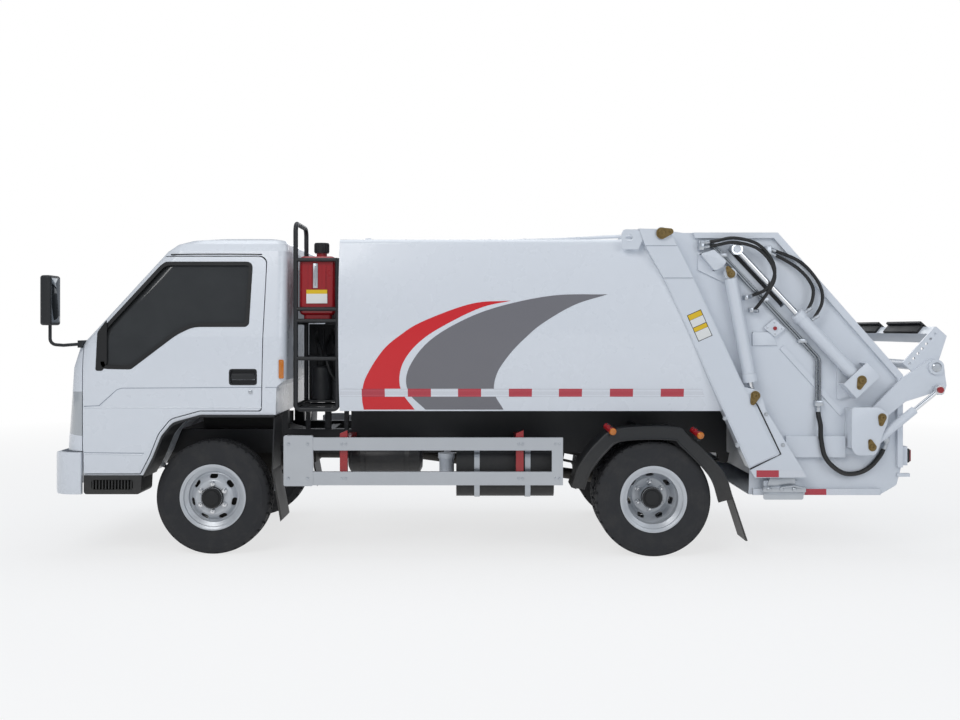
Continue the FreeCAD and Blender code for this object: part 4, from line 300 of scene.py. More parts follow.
def make_finishes():
    """Every finish by its short name."""
    kit = {}
    # Acrylic enamel sprayed on sheet steel: cool white, faint orange peel, clear gloss
    kit["white_enamel"] = coat_of("white_acrylic_enamel_sprayed", "#e4e8ee", 0.28, grain_mm=3.5,
                                  grain_depth_mm=0.012, shade=0.035, dust=0.16, coat=0.35)
    # Two-pack paint on welded plate: same white, a little flatter and more uneven
    kit["white_plate"] = coat_of("white_two_pack_on_plate", "#dde2e9", 0.36, grain_mm=5.0,
                                 grain_depth_mm=0.03, shade=0.05, dust=0.22, coat=0.2,
                                 edge_mm=3.0)
    # Stoved chassis paint: satin black that greys with road dust
    kit["chassis_black"] = coat_of("black_stoved_chassis_paint", "#1b1d21", 0.46, grain_mm=4.0,
                                   grain_depth_mm=0.05, shade=0.2, dust=0.5)
    # Sprayed enamel: deep red, glossy on the tank and brackets
    kit["red_enamel"] = coat_of("red_enamel_sprayed", "#a3141d", 0.3, grain_mm=3.0,
                                grain_depth_mm=0.015, shade=0.12, dust=0.2, coat=0.4)
    # Aluminium-flake wheel paint: silver with a soft sparkle and brake dust
    kit["wheel_silver"] = coat_of("silver_wheel_paint", "#d3d7dc", 0.36, metallic=0.35,
                                  grain_mm=1.5, grain_depth_mm=0.01, shade=0.1, dust=0.35,
                                  dust_colour="#6e6a64")
    # Anodised extrusion: fine lines along the rails
    kit["anodised"] = coat_of("anodised_aluminium_extruded", "#c3c7cc", 0.36, metallic=0.8,
                              grain_mm=1.2, grain_depth_mm=0.02, shade=0.06, dust=0.2,
                              stretch=(0.03, 1.0, 1.0))
    # Sand-cast iron: dark, pitted, dull
    kit["cast_iron"] = coat_of("cast_iron_sand_cast", "#2c2b2a", 0.62, metallic=0.3,
                               grain_mm=2.5, grain_depth_mm=0.25, shade=0.3, dust=0.6)
    # Aluminised steel tube of the exhaust: grey, heat-mottled
    kit["exhaust_steel"] = coat_of("aluminised_steel_rolled", "#77736e", 0.5, metallic=0.85,
                                   grain_mm=8.0, grain_depth_mm=0.05, shade=0.35, dust=0.5)
    # Hard chrome, ground: bright rod with a trace of lines
    kit["hard_chrome"] = coat_of("hard_chrome_ground", "#d9dbde", 0.12, metallic=1.0,
                                 grain_mm=0.8, grain_depth_mm=0.004, shade=0.04)
    # Zinc-plated fasteners: pale, slightly cloudy
    kit["zinc"] = coat_of("zinc_plated_steel", "#c2c7cd", 0.32, metallic=0.9, grain_mm=1.0,
                          grain_depth_mm=0.01, shade=0.2, edge_mm=0.8)
    # Turned bronze of the pin ends and keepers, browned by weather
    kit["brass"] = coat_of("bronze_turned_weathered", "#85714a", 0.38, metallic=0.95, grain_mm=1.0,
                           grain_depth_mm=0.015, shade=0.25, edge_mm=1.0)
    # Polypropylene, injection moulded: charcoal with a fine leather grain
    kit["moulded_black"] = coat_of("polypropylene_moulded", "#1d1f22", 0.5, grain_mm=1.6,
                                   grain_depth_mm=0.06, shade=0.12, dust=0.3)
    kit["moulded_grey"] = coat_of("abs_moulded_grey", "#4a4c50", 0.55, grain_mm=1.4,
                                  grain_depth_mm=0.05, shade=0.08)
    # EPDM seal rubber, extruded: matt black
    kit["seal_rubber"] = coat_of("epdm_rubber_extruded", "#141517", 0.62, grain_mm=1.0,
                                 grain_depth_mm=0.02, shade=0.15, edge_mm=1.0)
    # Hose rubber with its cloth-marked cover
    kit["hose_rubber"] = coat_of("hose_rubber_wrapped", "#17181a", 0.5, grain_mm=2.2,
                                 grain_depth_mm=0.12, shade=0.2, dust=0.25, edge_mm=0.5)
    kit["tyre_rubber"] = tread_rubber("tyre_rubber_moulded")
    kit["side_glass"] = tinted_glass("float_glass_filmed", "#3f4142", 0.12)
    kit["mirror_glass"] = coat_of("mirror_silvered", "#6c7176", 0.04, metallic=1.0,
                                  grain_mm=60, grain_depth_mm=0.0, shade=0.02, rough_swing=0.01)
    # Steel pipe, drawn and clear-plated
    kit["pipe_steel"] = coat_of("steel_pipe_drawn", "#8f9499", 0.28, metallic=0.9, grain_mm=1.2,
                                grain_depth_mm=0.01, shade=0.15, edge_mm=0.5)
    # Painted shade: grey lines where one panel of the cab folds under the next
    kit["crease_shade"] = coat_of("white_enamel_in_shade", "#8e96a2", 0.4, grain_mm=3.0,
                            grain_depth_mm=0.01, shade=0.05, edge_mm=0.5)
    kit["clear_lens"] = fluted_lens("polycarbonate_lens_clear", "#cdd3d8", 0.35, 14, 1)
    kit["headlamp_lens"] = reflector_lens("polycarbonate_headlamp", 0.72, 0.925, 0.082)
    kit["amber_lens"] = fluted_lens("acrylic_lens_amber", "#ef8a12", 0.25, 6, 0)
    kit["red_lens"] = fluted_lens("acrylic_lens_red", "#b3121a", 0.25, 8, 1)
    kit["tape_red"] = prismatic_tape("retroreflective_film_red", "#b01530")
    kit["tape_white"] = prismatic_tape("retroreflective_film_white", "#d3d6dc")
    # Cast vinyl film, cut and laid on the panel: flat, even colour
    for hue, code, roughness in (("red", "#d8232b", 0.34), ("grey", "#77767b", 0.36),
                                 ("yellow", "#e8c01f", 0.36), ("white", "#e9e9e6", 0.36)):
        kit["vinyl_" + hue] = coat_of("cast_vinyl_" + hue, code, roughness, grain_mm=6,
                                      grain_depth_mm=0.006, shade=0.03, edge_mm=0.1)
    # Polyester seat cloth, woven
    kit["seat_cloth"] = woven_cloth("polyester_seat_cloth_woven", "#33353a", "#45484e", 2.4)
    return kit


FINISH = {}

NODE_FINISH = {
    "white_enamel": ["cab_shell", "door_left", "door_right", "body_shell", "bumper"],
    "white_plate": ["rear_columns", "tailgate_walls", "hopper_tub", "tailgate_brackets",
                    "slide_barrels", "lift_barrels", "slide_plate", "blade_plate",
                    "lifter_arms", "lifter_barrels", "fuel_filter"],
    "chassis_black": ["chassis_frame", "leaf_springs", "tank_rack"],
    "cast_iron": ["front_axle", "rear_axle", "engine", "knuckle_left", "knuckle_right"],
    "exhaust_steel": ["exhaust"],
    "red_enamel": ["oil_tank", "guard_stays"],
    "anodised": ["side_guards"],
    "wheel_silver": ["rim_front_left", "rim_front_right", "rims_rear_left", "rims_rear_right"],
    "hard_chrome": ["slide_rods", "lift_rods", "lifter_rods"],
    "moulded_black": ["fuel_tank", "battery_box", "mudguards", "tank_cap", "air_intake",
                      "grille", "mirrors", "steering_wheel", "cab_lower_trim"],
    "moulded_grey": ["dashboard"],
    "seal_rubber": ["lifter_pads"],
    "hose_rubber": ["hydraulic_lines"],
    "side_glass": ["cab_glass", "door_glass_left", "door_glass_right"],
    "headlamp_lens": ["headlamps"],
    "amber_lens": ["marker_lamps"],
    "red_lens": ["tail_lamps"],
    "seat_cloth": ["seats"],
    "tyre_rubber": ["tyre_front_left", "tyre_front_right", "tyres_rear_left",
                    "tyres_rear_right"],
}


# Mesh helpers

def place_piece(name, bm, body, finish):
    """Turns a bmesh into a finished piece that rides on a body."""
    bmesh.ops.remove_doubles(bm, verts=bm.verts, dist=0.00001)
    bmesh.ops.recalc_face_normals(bm, faces=bm.faces)
    mesh = bpy.data.meshes.new(name)
    bm.to_mesh(mesh)
    bm.free()
    piece = bpy.data.objects.new(name, mesh)
    bpy.context.scene.collection.objects.link(piece)
    mesh.materials.append(FINISH[finish])
    mesh.polygons.foreach_set("use_smooth", [True] * len(mesh.polygons))
    mesh.set_sharp_from_angle(angle=math.radians(32))
    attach(piece, body)
    return piece


def soften(bm, verts, radius, segments=2):
    """Rounds the edges at the given vertices; gives all that hangs on them."""
    edges = {edge for vert in verts for edge in vert.link_edges}
    return linked(bmesh.ops.bevel(bm, geom=list(edges), offset=radius, segments=segments,
                                  profile=0.5, affect="EDGES", material=-1)["verts"])


def set_down(bm, verts, turn, place):
    """Turns vertices about the origin and moves them to a place."""
    bmesh.ops.rotate(bm, cent=(0, 0, 0), matrix=turn, verts=verts)
    bmesh.ops.translate(bm, vec=place, verts=verts)


def pushed(bm, faces, way):
    """Extrudes faces by a vector."""
    made = bmesh.ops.extrude_face_region(bm, geom=faces)["geom"]
    bmesh.ops.translate(bm, vec=way,
                        verts=[item for item in made if isinstance(item, bmesh.types.BMVert)])


def inner_band(bm, verts, width):
    """Faces of a band along the inside of a closed outline; the middle is left open."""
    face = bm.faces.new(verts)
    face.normal_update()
    band = bmesh.ops.inset_region(bm, faces=[face], thickness=width, use_boundary=True,
                                  use_even_offset=True)["faces"]
    bmesh.ops.delete(bm, geom=[face], context="FACES_ONLY")
    return band


def block(bm, low, high, bevel=0.002, segments=2):
    """Rounded block between two corners."""
    low = Vector(low)
    high = Vector(high)
    made = bmesh.ops.create_cube(bm, size=1.0)["verts"]
    bmesh.ops.scale(bm, vec=high - low, verts=made)
    made = soften(bm, made, bevel, segments)
    bmesh.ops.translate(bm, vec=(low + high) / 2, verts=made)


def linked(verts):
    """All vertices joined to the given ones."""
    found = set(verts)
    todo = list(verts)
    while todo:
        vert = todo.pop()
        for edge in vert.link_edges:
            other = edge.other_vert(vert)
            if other not in found:
                found.add(other)
                todo.append(other)
    return list(found)


def aim(direction):
    """Matrix that turns +Z to the direction."""
    return Vector(direction).to_track_quat("Z", "Y").to_matrix()


def lathe(bm, profile, middle, direction, steps=32):
    """Turns (radius, height) points about an axis through middle."""
    verts = [bm.verts.new((radius, 0, height)) for radius, height in profile]
    edges = [bm.edges.new(pair) for pair in zip(verts, verts[1:])]
    bmesh.ops.spin(bm, geom=verts + edges, cent=(0, 0, 0), axis=(0, 0, 1),
                   angle=2 * math.pi, steps=steps, use_merge=True)
    made = linked(verts)
    bmesh.ops.remove_doubles(bm, verts=made, dist=0.00002)
    made = linked([vert for vert in made if vert.is_valid])
    set_down(bm, made, aim(direction), middle)
    return made


def stud(bm, foot, direction, radius, height, top_radius, top, steps=20):
    """Round head that tapers from one radius and height to the next."""
    lathe(bm, [(0, 0), (radius, 0), (radius, height), (top_radius, top), (0, top)], foot,
          direction, steps)


def hex_bolt(bm, foot, direction, width=0.019, washer=True):
    """Hexagon head on a washer, standing on foot."""
    across = width / math.cos(math.pi / 6) / 2
    height = width * 0.6
    start = 0.0
    if washer:
        lathe(bm, [(0, 0), (width * 0.85, 0), (width * 0.85, 0.0018), (0, 0.0018)], foot,
              direction, 16)
        start = 0.0018
    made = bmesh.ops.create_cone(bm, cap_ends=True, segments=6, radius1=across,
                                 radius2=across, depth=height)["verts"]
    top = [edge for vert in made for edge in vert.link_edges
           if all(v.co.z > 0 for v in edge.verts)]
    made = linked(bmesh.ops.bevel(bm, geom=list(set(top)), offset=width * 0.07, segments=1,
                                  profile=0.5, affect="EDGES", material=-1)["verts"])
    bmesh.ops.translate(bm, vec=(0, 0, start + height / 2), verts=made)
    set_down(bm, made, aim(direction), foot)


def tube(bm, points, radius, sides=10):
    """Round bar that follows points, rings mitred at each."""
    points = [Vector(point) for point in points]
    rings = []
    for index, point in enumerate(points):
        ahead = points[min(index + 1, len(points) - 1)] - points[max(index - 1, 0)]
        ring = bmesh.ops.create_circle(bm, segments=sides, radius=radius)["verts"]
        set_down(bm, ring, aim(ahead), point)
        rings.append(ring)
    for first, second in zip(rings, rings[1:]):
        pairs = [edge for vert in first for edge in vert.link_edges
                 if edge.other_vert(vert) in first]
        pairs += [edge for vert in second for edge in vert.link_edges
                  if edge.other_vert(vert) in second]
        bmesh.ops.bridge_loops(bm, edges=list(set(pairs)))
    bmesh.ops.contextual_create(bm, geom=rings[0])
    bmesh.ops.contextual_create(bm, geom=rings[-1])


def smooth_run(points, share):
    """Point on a smooth line through the points, share from 0 to 1."""
    place = share * (len(points) - 1)
    index = min(int(place), len(points) - 2)
    t = place - index
    p1 = Vector(points[index])
    p2 = Vector(points[index + 1])
    p0 = Vector(points[index - 1]) if index else p1 * 2 - p2
    p3 = Vector(points[index + 2]) if index + 2 < len(points) else p2 * 2 - p1
    return 0.5 * ((2 * p1) + (p2 - p0) * t + (2 * p0 - 5 * p1 + 4 * p2 - p3) * t * t
                  + (3 * p1 - p0 - 3 * p2 + p3) * t ** 3)


def outline_plate(bm, points, y0, y1, bevel=0.0, segments=2):
    """Plate with an outline in (x, z) millimetres, between two values of y in millimetres."""
    verts = [bm.verts.new(at(x, y0, z)) for x, z in points]
    pushed(bm, [bm.faces.new(verts)], (0, (y1 - y0) / 1000, 0))
    verts = linked(verts)
    return soften(bm, verts, bevel, segments) if bevel else verts


def rounded(points, radius, steps=4):
    """Outline with its corners rounded by radius, in the unit of the points."""
    result = []
    for index, point in enumerate(points):
        here = Vector(point[:2])
        before = Vector(points[index - 1][:2]) - here
        after = Vector(points[(index + 1) % len(points)][:2]) - here
        reach = min(radius, before.length * 0.45, after.length * 0.45)
        first = here + before.normalized() * reach
        last = here + after.normalized() * reach
        for step in range(steps + 1):
            t = step / steps
            spot = first * (1 - t) ** 2 + here * 2 * t * (1 - t) + last * t * t
            result.append((spot.x, spot.y))
    return result


def frame_plate(bm, points, width, y0, y1, radius=40):
    """Closed band of a given width along the inside of an outline in (x, z) millimetres."""
    verts = [bm.verts.new(at(x, y0, z)) for x, z in rounded(points, radius)]
    pushed(bm, inner_band(bm, verts, width / 1000), (0, (y1 - y0) / 1000, 0))


def ribbon(bm, points, width, y0, y1):
    """Flat strip of a given width along points of (x, z), between two values of y."""
    line = [Vector(point) for point in points]
    sides = ([], [])
    for index, point in enumerate(line):
        ahead = line[min(index + 1, len(line) - 1)] - line[max(index - 1, 0)]
        across = Vector((-ahead.y, ahead.x)).normalized() * width / 2
        sides[0].append(tuple(point + across))
        sides[1].append(tuple(point - across))
    for index in range(len(line) - 1):
        outline_plate(bm, [sides[0][index], sides[0][index + 1], sides[1][index + 1],
                           sides[1][index]], y0, y1)


def keeper(bm, x, z, y, out, radius, lean):
    """Pin end with its keeper plate and screw: lean is the plate's angle in degrees."""
    turn = math.radians(lean)
    reach = radius * 1.75
    spots = []
    for index in range(24):
        angle = index * math.pi / 12
        size = radius * 1.18 if math.cos(angle) < 0.2 else radius * 0.62
        shift = 0.0 if math.cos(angle) < 0.2 else reach
        px = shift + size * math.cos(angle)
        pz = size * math.sin(angle)
        spots.append((x + px * math.cos(turn) - pz * math.sin(turn),
                      z + px * math.sin(turn) + pz * math.cos(turn)))
    sign = 1 if out.y > 0 else -1
    outline_plate(bm, spots, sign * y, sign * (y + 5), 0.001, 1)
    lathe(bm, [(0, 0), (radius * 0.8 / 1000, 0), (radius * 0.8 / 1000, 0.006),
               (radius * 0.62 / 1000, 0.010), (0.006, 0.0105), (0.006, 0.004), (0, 0.004)],
          at(x, sign * (y + 5), z), out, 28)
    hex_bolt(bm, at(x + reach * math.cos(turn), sign * (y + 5), z + reach * math.sin(turn)), out,
             0.013, washer=False)


def mirror_copy(bm):
    """Adds the same shapes on the other side of the truck."""
    bmesh.ops.mirror(bm, geom=bm.verts[:] + bm.edges[:] + bm.faces[:], axis="Y",
                     merge_dist=-1.0)


# Settings

class TruckSizes(bpy.types.PropertyGroup):
    """Sizes that shape the dressing."""
    tread_depth: FloatProperty(name="Tread depth", description="Depth of the tyres' grooves",
                               default=0.009, unit="LENGTH")
    tread_steps: IntProperty(name="Tread steps", description="Pitches round a tyre",
                             default=144)
    bow_edge: FloatProperty(name="Body edge", description="Half width of the body at its edges",
                            default=0.812, unit="LENGTH")
    bow_bulge: FloatProperty(name="Body bulge", description="Half width of the body half way up",
                             default=0.880, unit="LENGTH")
    tape_height: FloatProperty(name="Tape height", description="Lower edge of the side tape",
                               default=1.012, unit="LENGTH")
    tape_width: FloatProperty(name="Tape width", description="Width of the side tape",
                              default=0.051, unit="LENGTH")
    pad_voxel: FloatProperty(name="Pad mesh", description="Mesh size of the seats' covers",
                             default=0.006, unit="LENGTH")
    camera_height: FloatProperty(name="Camera height", description="Lens above the road",
                                 default=1.44, unit="LENGTH")
    camera_distance: FloatProperty(name="Camera distance",
                                   description="Lens from the truck's near side",
                                   default=6.5, unit="LENGTH")


class TruckColours(bpy.types.PropertyGroup):
    """Colours of the studio."""
    floor: FloatVectorProperty(name="Floor", description="Colour of the studio floor",
                               subtype="COLOR", size=3, default=(0.86, 0.87, 0.88))
    air: FloatVectorProperty(name="Studio air", description="Colour of the soft light all round",
                             subtype="COLOR", size=3, default=(0.80, 0.86, 0.95))


def sizes():
    """The sizes as they are set in the scene."""
    return bpy.context.scene.truck_sizes


# Stage

class TRUCK_OT_stage(bpy.types.Operator):
    """Camera at the photograph's viewpoint, pale floor and soft lamps"""
    bl_idname = "truck.stage"
    bl_label = "Studio"

    def execute(self, context):
        scene = context.scene
        colours = scene.truck_colours
        near_side = -0.78
        lens = bpy.data.cameras.new("camera")
        lens.sensor_width = 36.0
        lens.lens = 38.25
        lens.shift_y = -0.0323
        lens.clip_end = 100
        camera = bpy.data.objects.new("camera", lens)
        camera.location = (FRONT_AXLE.x + 1.705, near_side - sizes().camera_distance,
                           sizes().camera_height)
        camera.rotation_euler = (math.radians(90), 0, 0)
        scene.collection.objects.link(camera)
        scene.camera = camera

        bm = bmesh.new()
        bmesh.ops.create_grid(bm, x_segments=1, y_segments=1, size=30)
        mesh = bpy.data.meshes.new("floor")
        bm.to_mesh(mesh)
        bm.free()
        floor = bpy.data.objects.new("floor", mesh)
        scene.collection.objects.link(floor)
        # Painted studio floor: pale to the camera, keeps the truck's shadow
        material, tree, out = new_material("studio_floor_painted")
        matt = add(tree, "ShaderNodeBsdfDiffuse", Color=tuple(colours.floor) + (1.0,))
        white = add(tree, "ShaderNodeEmission", Color=(1, 1, 1, 1), Strength=1.0)
        path = add(tree, "ShaderNodeLightPath")
        seen = maths(tree, "MAXIMUM", path.outputs["Is Camera Ray"],
                     maths(tree, "MAXIMUM", path.outputs["Is Glossy Ray"],
                           path.outputs["Is Transmission Ray"]))
        # The floor turns white some metres away, so that no horizon shows
        far = add(tree, "ShaderNodeVectorMath", {"operation": "LENGTH"},
                  in0=object_place(tree)).outputs["Value"]
        share = maths(tree, "MULTIPLY", seen, ranged(tree, far, 3.5, 11.0, 0.72, 1.0))
        mixed = add(tree, "ShaderNodeMixShader", in0=share, in1=matt.outputs[0],
                    in2=white.outputs[0])
        tree.links.new(mixed.outputs[0], out.inputs[0])
        mesh.materials.append(material)

        world = bpy.data.worlds.new("studio")
        world.use_nodes = True
        scene.world = world
        tree = world.node_tree
        tree.nodes.clear()
        out = tree.nodes.new("ShaderNodeOutputWorld")
        soft = add(tree, "ShaderNodeBackground", Color=tuple(colours.air) + (1.0,),
                   Strength=0.42)
        plain = add(tree, "ShaderNodeBackground", Color=(1, 1, 1, 1), Strength=1.0)
        path = add(tree, "ShaderNodeLightPath")
        seen = maths(tree, "MAXIMUM", path.outputs["Is Camera Ray"],
                     path.outputs["Is Transmission Ray"])
        mixed = add(tree, "ShaderNodeMixShader", in0=seen, in1=soft.outputs[0],
                    in2=plain.outputs[0])
        tree.links.new(mixed.outputs[0], out.inputs[0])

        lamps = [("key", (-3.5, -7.0, 6.5), (4.0, 4.0), 230, (1.0, 0.99, 0.97)),
                 ("fill", (4.5, -6.5, 3.5), (4.0, 3.0), 80, (0.93, 0.96, 1.0)),
                 ("top", (0.0, 0.5, 7.0), (7.0, 4.0), 145, (0.95, 0.98, 1.0)),
                 ("back", (1.0, 7.0, 4.5), (6.0, 3.0), 110, (1.0, 1.0, 1.0))]
        for name, place, size, power, colour in lamps:
            light = bpy.data.lights.new(name, "AREA")
            light.shape = "RECTANGLE"
            light.size, light.size_y = size
            light.energy = power
            light.color = colour
            lamp = bpy.data.objects.new(name, light)
            lamp.location = place
            lamp.rotation_euler = (Vector((0, 0, 1.0)) - Vector(place)).to_track_quat(
                "-Z", "Y").to_euler()
            scene.collection.objects.link(lamp)
        scene.view_settings.view_transform = "Standard"
        return {"FINISHED"}


class TRUCK_OT_finishes(bpy.types.Operator):
    """Gives every CAD node its finish"""
    bl_idname = "truck.finishes"
    bl_label = "Finishes"

    def execute(self, context):
        FINISH.update(make_finishes())
        given = set()
        for key, names in NODE_FINISH.items():
            for name in names:
                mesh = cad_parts[name].data
                mesh.materials.clear()
                mesh.materials.append(FINISH[key])
                given.add(name)
        left = sorted(set(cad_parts) - given)
        if left:
            raise RuntimeError("nodes without a finish: " + ", ".join(left))
        return {"FINISHED"}


# Running gear

def tyre_shape(bm, middle, width, radius, seat):
    """Tyre about its middle: ribbed flanks, three grooves round the tread, cut shoulders."""
    depth = sizes().tread_depth
    r = radius
    flank = [(seat + 0.001, 0.40), (seat + 0.006, 0.43), (seat + 0.018, 0.445),
             (seat + 0.022, 0.452), (seat + 0.026, 0.448), (seat + 0.045, 0.475),
             (seat + 0.070, 0.495), (seat + 0.095, 0.5), (seat + 0.118, 0.492),
             (seat + 0.121, 0.497), (seat + 0.125, 0.490), (r - 0.028, 0.468),
             (r - 0.014, 0.448)]
    tread = [(r - 0.004, 0.405), (r - 0.001, 0.30), (r - 0.0005, 0.235),
             (r - depth, 0.228), (r - depth, 0.178), (r, 0.171), (r, 0.045),
             (r - depth, 0.038), (r - depth, 0.0)]
    right = [(a, b * width) for a, b in flank + tread]
    profile = right[:-1] + [(a, -b) for a, b in reversed(right[:-1])]
    before = len(bm.verts)
    steps = sizes().tread_steps
    made = set(lathe(bm, profile, (0, 0, 0), (0, 0, 1), steps))
    shoulders = []
    bands = []
    for face in bm.faces:
        if not all(vert in made for vert in face.verts):
            continue
        spot = face.calc_center_median()
        reach = math.hypot(spot.x, spot.y)
        turn = int(round((math.atan2(spot.y, spot.x) / (2 * math.pi)) * steps - 0.5)) % steps
        side = abs(spot.z) / width
        if 0.36 < side < 0.46 and reach > r - 0.02 and turn % 4 == (0 if spot.z > 0 else 2):
            shoulders.append(face)
        if 0.17 > side > 0.05 and reach > r - 0.002 and turn % 4 == (1 if spot.z > 0 else 3):
            bands.append(face)
        if 0.24 < side < 0.36 and reach > r - 0.006 and turn % 4 == (0 if spot.z > 0 else 2):
            bands.append(face)
    for group in (shoulders, bands):
        if group:
            bmesh.ops.inset_individual(bm, faces=group, thickness=0.0015, depth=-depth * 0.8,
                                       use_even_offset=True)
    bm.verts.ensure_lookup_table()
    made = [vert for vert in bm.verts[before:] if vert.is_valid]
    set_down(bm, made, aim((0, 1, 0)), middle)


def mark_ring(piece, axle):
    """Stores each point's distance from the axle, which the rubber's ribs follow."""
    ring = piece.data.attributes.new("ring", "FLOAT", "POINT")
    ring.data.foreach_set("value", [math.hypot(v.co.x - axle.x, v.co.z - axle.z)
                                    for v in piece.data.vertices])


class TRUCK_OT_tyres(bpy.types.Operator):
    """Road tyres with grooved treads in place of the plain ones"""
    bl_idname = "truck.tyres"
    bl_label = "Tyres"

    def execute(self, context):
        # Radius of the beads, just over the rim's own seat
        seat = 0.1963
        low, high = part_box("tyre_front_left")
        width = high[1] - low[1]
        for side in ("left", "right"):
            rear_low, rear_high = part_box("tyres_rear_" + side)
            twins = [Vector((REAR_AXLE.x, y, TYRE_RADIUS))
                     for y in (rear_low[1] + width / 2, rear_high[1] - width / 2)]
            for node, body, axle, middles in (
                    ("tyre_front_", "wheel_front_", FRONT_AXLE,
                     [centre("tyre_front_" + side)]),
                    ("tyres_rear_", "wheel_rear_", REAR_AXLE, twins)):
                bm = bmesh.new()
                for middle in middles:
                    tyre_shape(bm, middle, width, TYRE_RADIUS, seat)
                piece = place_piece("road_" + node + side, bm, body + side, "tyre_rubber")
                mark_ring(piece, axle)
                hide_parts(node + side)
        return {"FINISHED"}


class TRUCK_OT_wheel_hardware(bpy.types.Operator):
    """Wheel nuts and hub caps on the rims"""
    bl_idname = "truck.wheel_hardware"
    bl_label = "Wheel nuts and caps"

    def execute(self, context):
        circle = 0.087
        cap_r = 0.067
        for side, sign in SIDES:
            out = Vector((0, sign, 0))
            for where, axle, face, cap_face in (("front", FRONT_AXLE, 0.770, 0.798),
                                                ("rear", REAR_AXLE, 0.6715, 0.793)):
                body = "wheel_%s_%s" % (where, side)
                nuts = bmesh.new()
                for index in range(6):
                    turn = math.radians(60 * index + 30)
                    foot = Vector((axle.x + circle * math.cos(turn), sign * face,
                                   TYRE_RADIUS + circle * math.sin(turn)))
                    stud(nuts, foot, out, 0.019, 0.004, 0.0165, 0.008)
                    hex_bolt(nuts, foot + out * 0.008, out, 0.027, washer=False)
                    lathe(nuts, [(0, 0.02), (0.008, 0.02), (0.008, 0.032), (0.006, 0.034),
                                 (0, 0.034)], foot, out, 12)
                place_piece("wheel_nuts_%s_%s" % (where, side), nuts, body, "hard_chrome")
                cap = bmesh.new()
                middle = Vector((axle.x, sign * cap_face, TYRE_RADIUS))
                lathe(cap, [(cap_r + 0.002, -0.030), (cap_r + 0.002, -0.004),
                            (cap_r - 0.003, 0.001), (0.050, 0.003), (0.047, 0.009),
                            (0.042, 0.012), (0, 0.013)], middle, out, 40)
                place_piece("hub_cap_%s_%s" % (where, side), cap, body,
                            "seal_rubber")
        return {"FINISHED"}


# Body markings

def bow(z):
    """Half width of the bowed side at a height."""
    low, high = 0.920, 1.975
    half = (high - low) / 2
    rise = sizes().bow_bulge - sizes().bow_edge
    radius = (half * half + rise * rise) / (2 * rise)
    return sizes().bow_bulge - radius + math.sqrt(radius ** 2 - (z - (low + half)) ** 2)


def laid_film(bm, first, second, lift, across=10, along=40):
    """Film between two lines of (x, z) millimetres, laid on the bowed side."""
    made = bmesh.ops.create_grid(bm, x_segments=along, y_segments=across, size=0.5)["verts"]
    for vert in made:
        u = vert.co.x + 0.5
        v = vert.co.y + 0.5
        spot = smooth_run(first, u).lerp(smooth_run(second, u), v)
        z = spot[1] / 1000
        vert.co = Vector((at(spot[0], 0, 0).x, -bow(z) - lift, z))


def tape_strip(bm, start, foot, top):
    """Side tape from start to its ends at the lower and upper edge, in millimetres."""
    low = sizes().tape_height * 1000
    high = low + sizes().tape_width * 1000
    laid_film(bm, [(start, low), (foot, low)], [(start, high), (top, high)], 0.0011, across=4,
              along=4)


RED_OUTER = [(1900, 1618), (1652, 1599), (1351, 1490), (1201, 1399), (1088, 1298), (983, 1129),
             (960, 1010), (968, 929)]
RED_INNER = [(1900, 1618), (1700, 1570), (1440, 1440), (1306, 1341), (1225, 1235), (1197, 1130),
             (1215, 1035), (1291, 929)]
GREY_OUTER = [(2508, 1658), (2160, 1650), (1800, 1574), (1545, 1468), (1360, 1340),
              (1250, 1175), (1255, 1040), (1359, 929)]
GREY_INNER = [(2508, 1658), (2300, 1592), (2103, 1479), (1990, 1385), (1890, 1280),
              (1812, 1160), (1795, 1040), (1854, 929)]
TAPE_STARTS = (958, 1249, 1566, 1887, 2203, 2525, 2846)
TAPE_LENGTH = 146
# Where the side tape begins, and its end below and above, along the sloping post
TAPE_FROM = 822.0
TAPE_END = (3125, 3105)


class TRUCK_OT_markings(bpy.types.Operator):
    """Sweeping stripes and reflective tape on the body's sides"""
    bl_idname = "truck.markings"
    bl_label = "Stripes and tape"

    def execute(self, context):
        for name, finish, first, second in (
                ("stripe_red", "vinyl_red", RED_OUTER, RED_INNER),
                ("stripe_grey", "vinyl_grey", GREY_OUTER, GREY_INNER)):
            bm = bmesh.new()
            laid_film(bm, first, second, 0.0006, along=64)
            mirror_copy(bm)
            place_piece(name, bm, "chassis", finish)
        red = bmesh.new()
        white = bmesh.new()
        edge = TAPE_FROM
        for start in TAPE_STARTS:
            if start > edge:
                tape_strip(white, edge, start, start)
            edge = start + TAPE_LENGTH
            tape_strip(red, start, edge, edge)
        tape_strip(white, edge, *TAPE_END)
        mirror_copy(red)
        mirror_copy(white)
        place_piece("side_tape_red", red, "chassis", "tape_red")
        place_piece("side_tape_white", white, "chassis", "tape_white")
        return {"FINISHED"}


# Cab trim

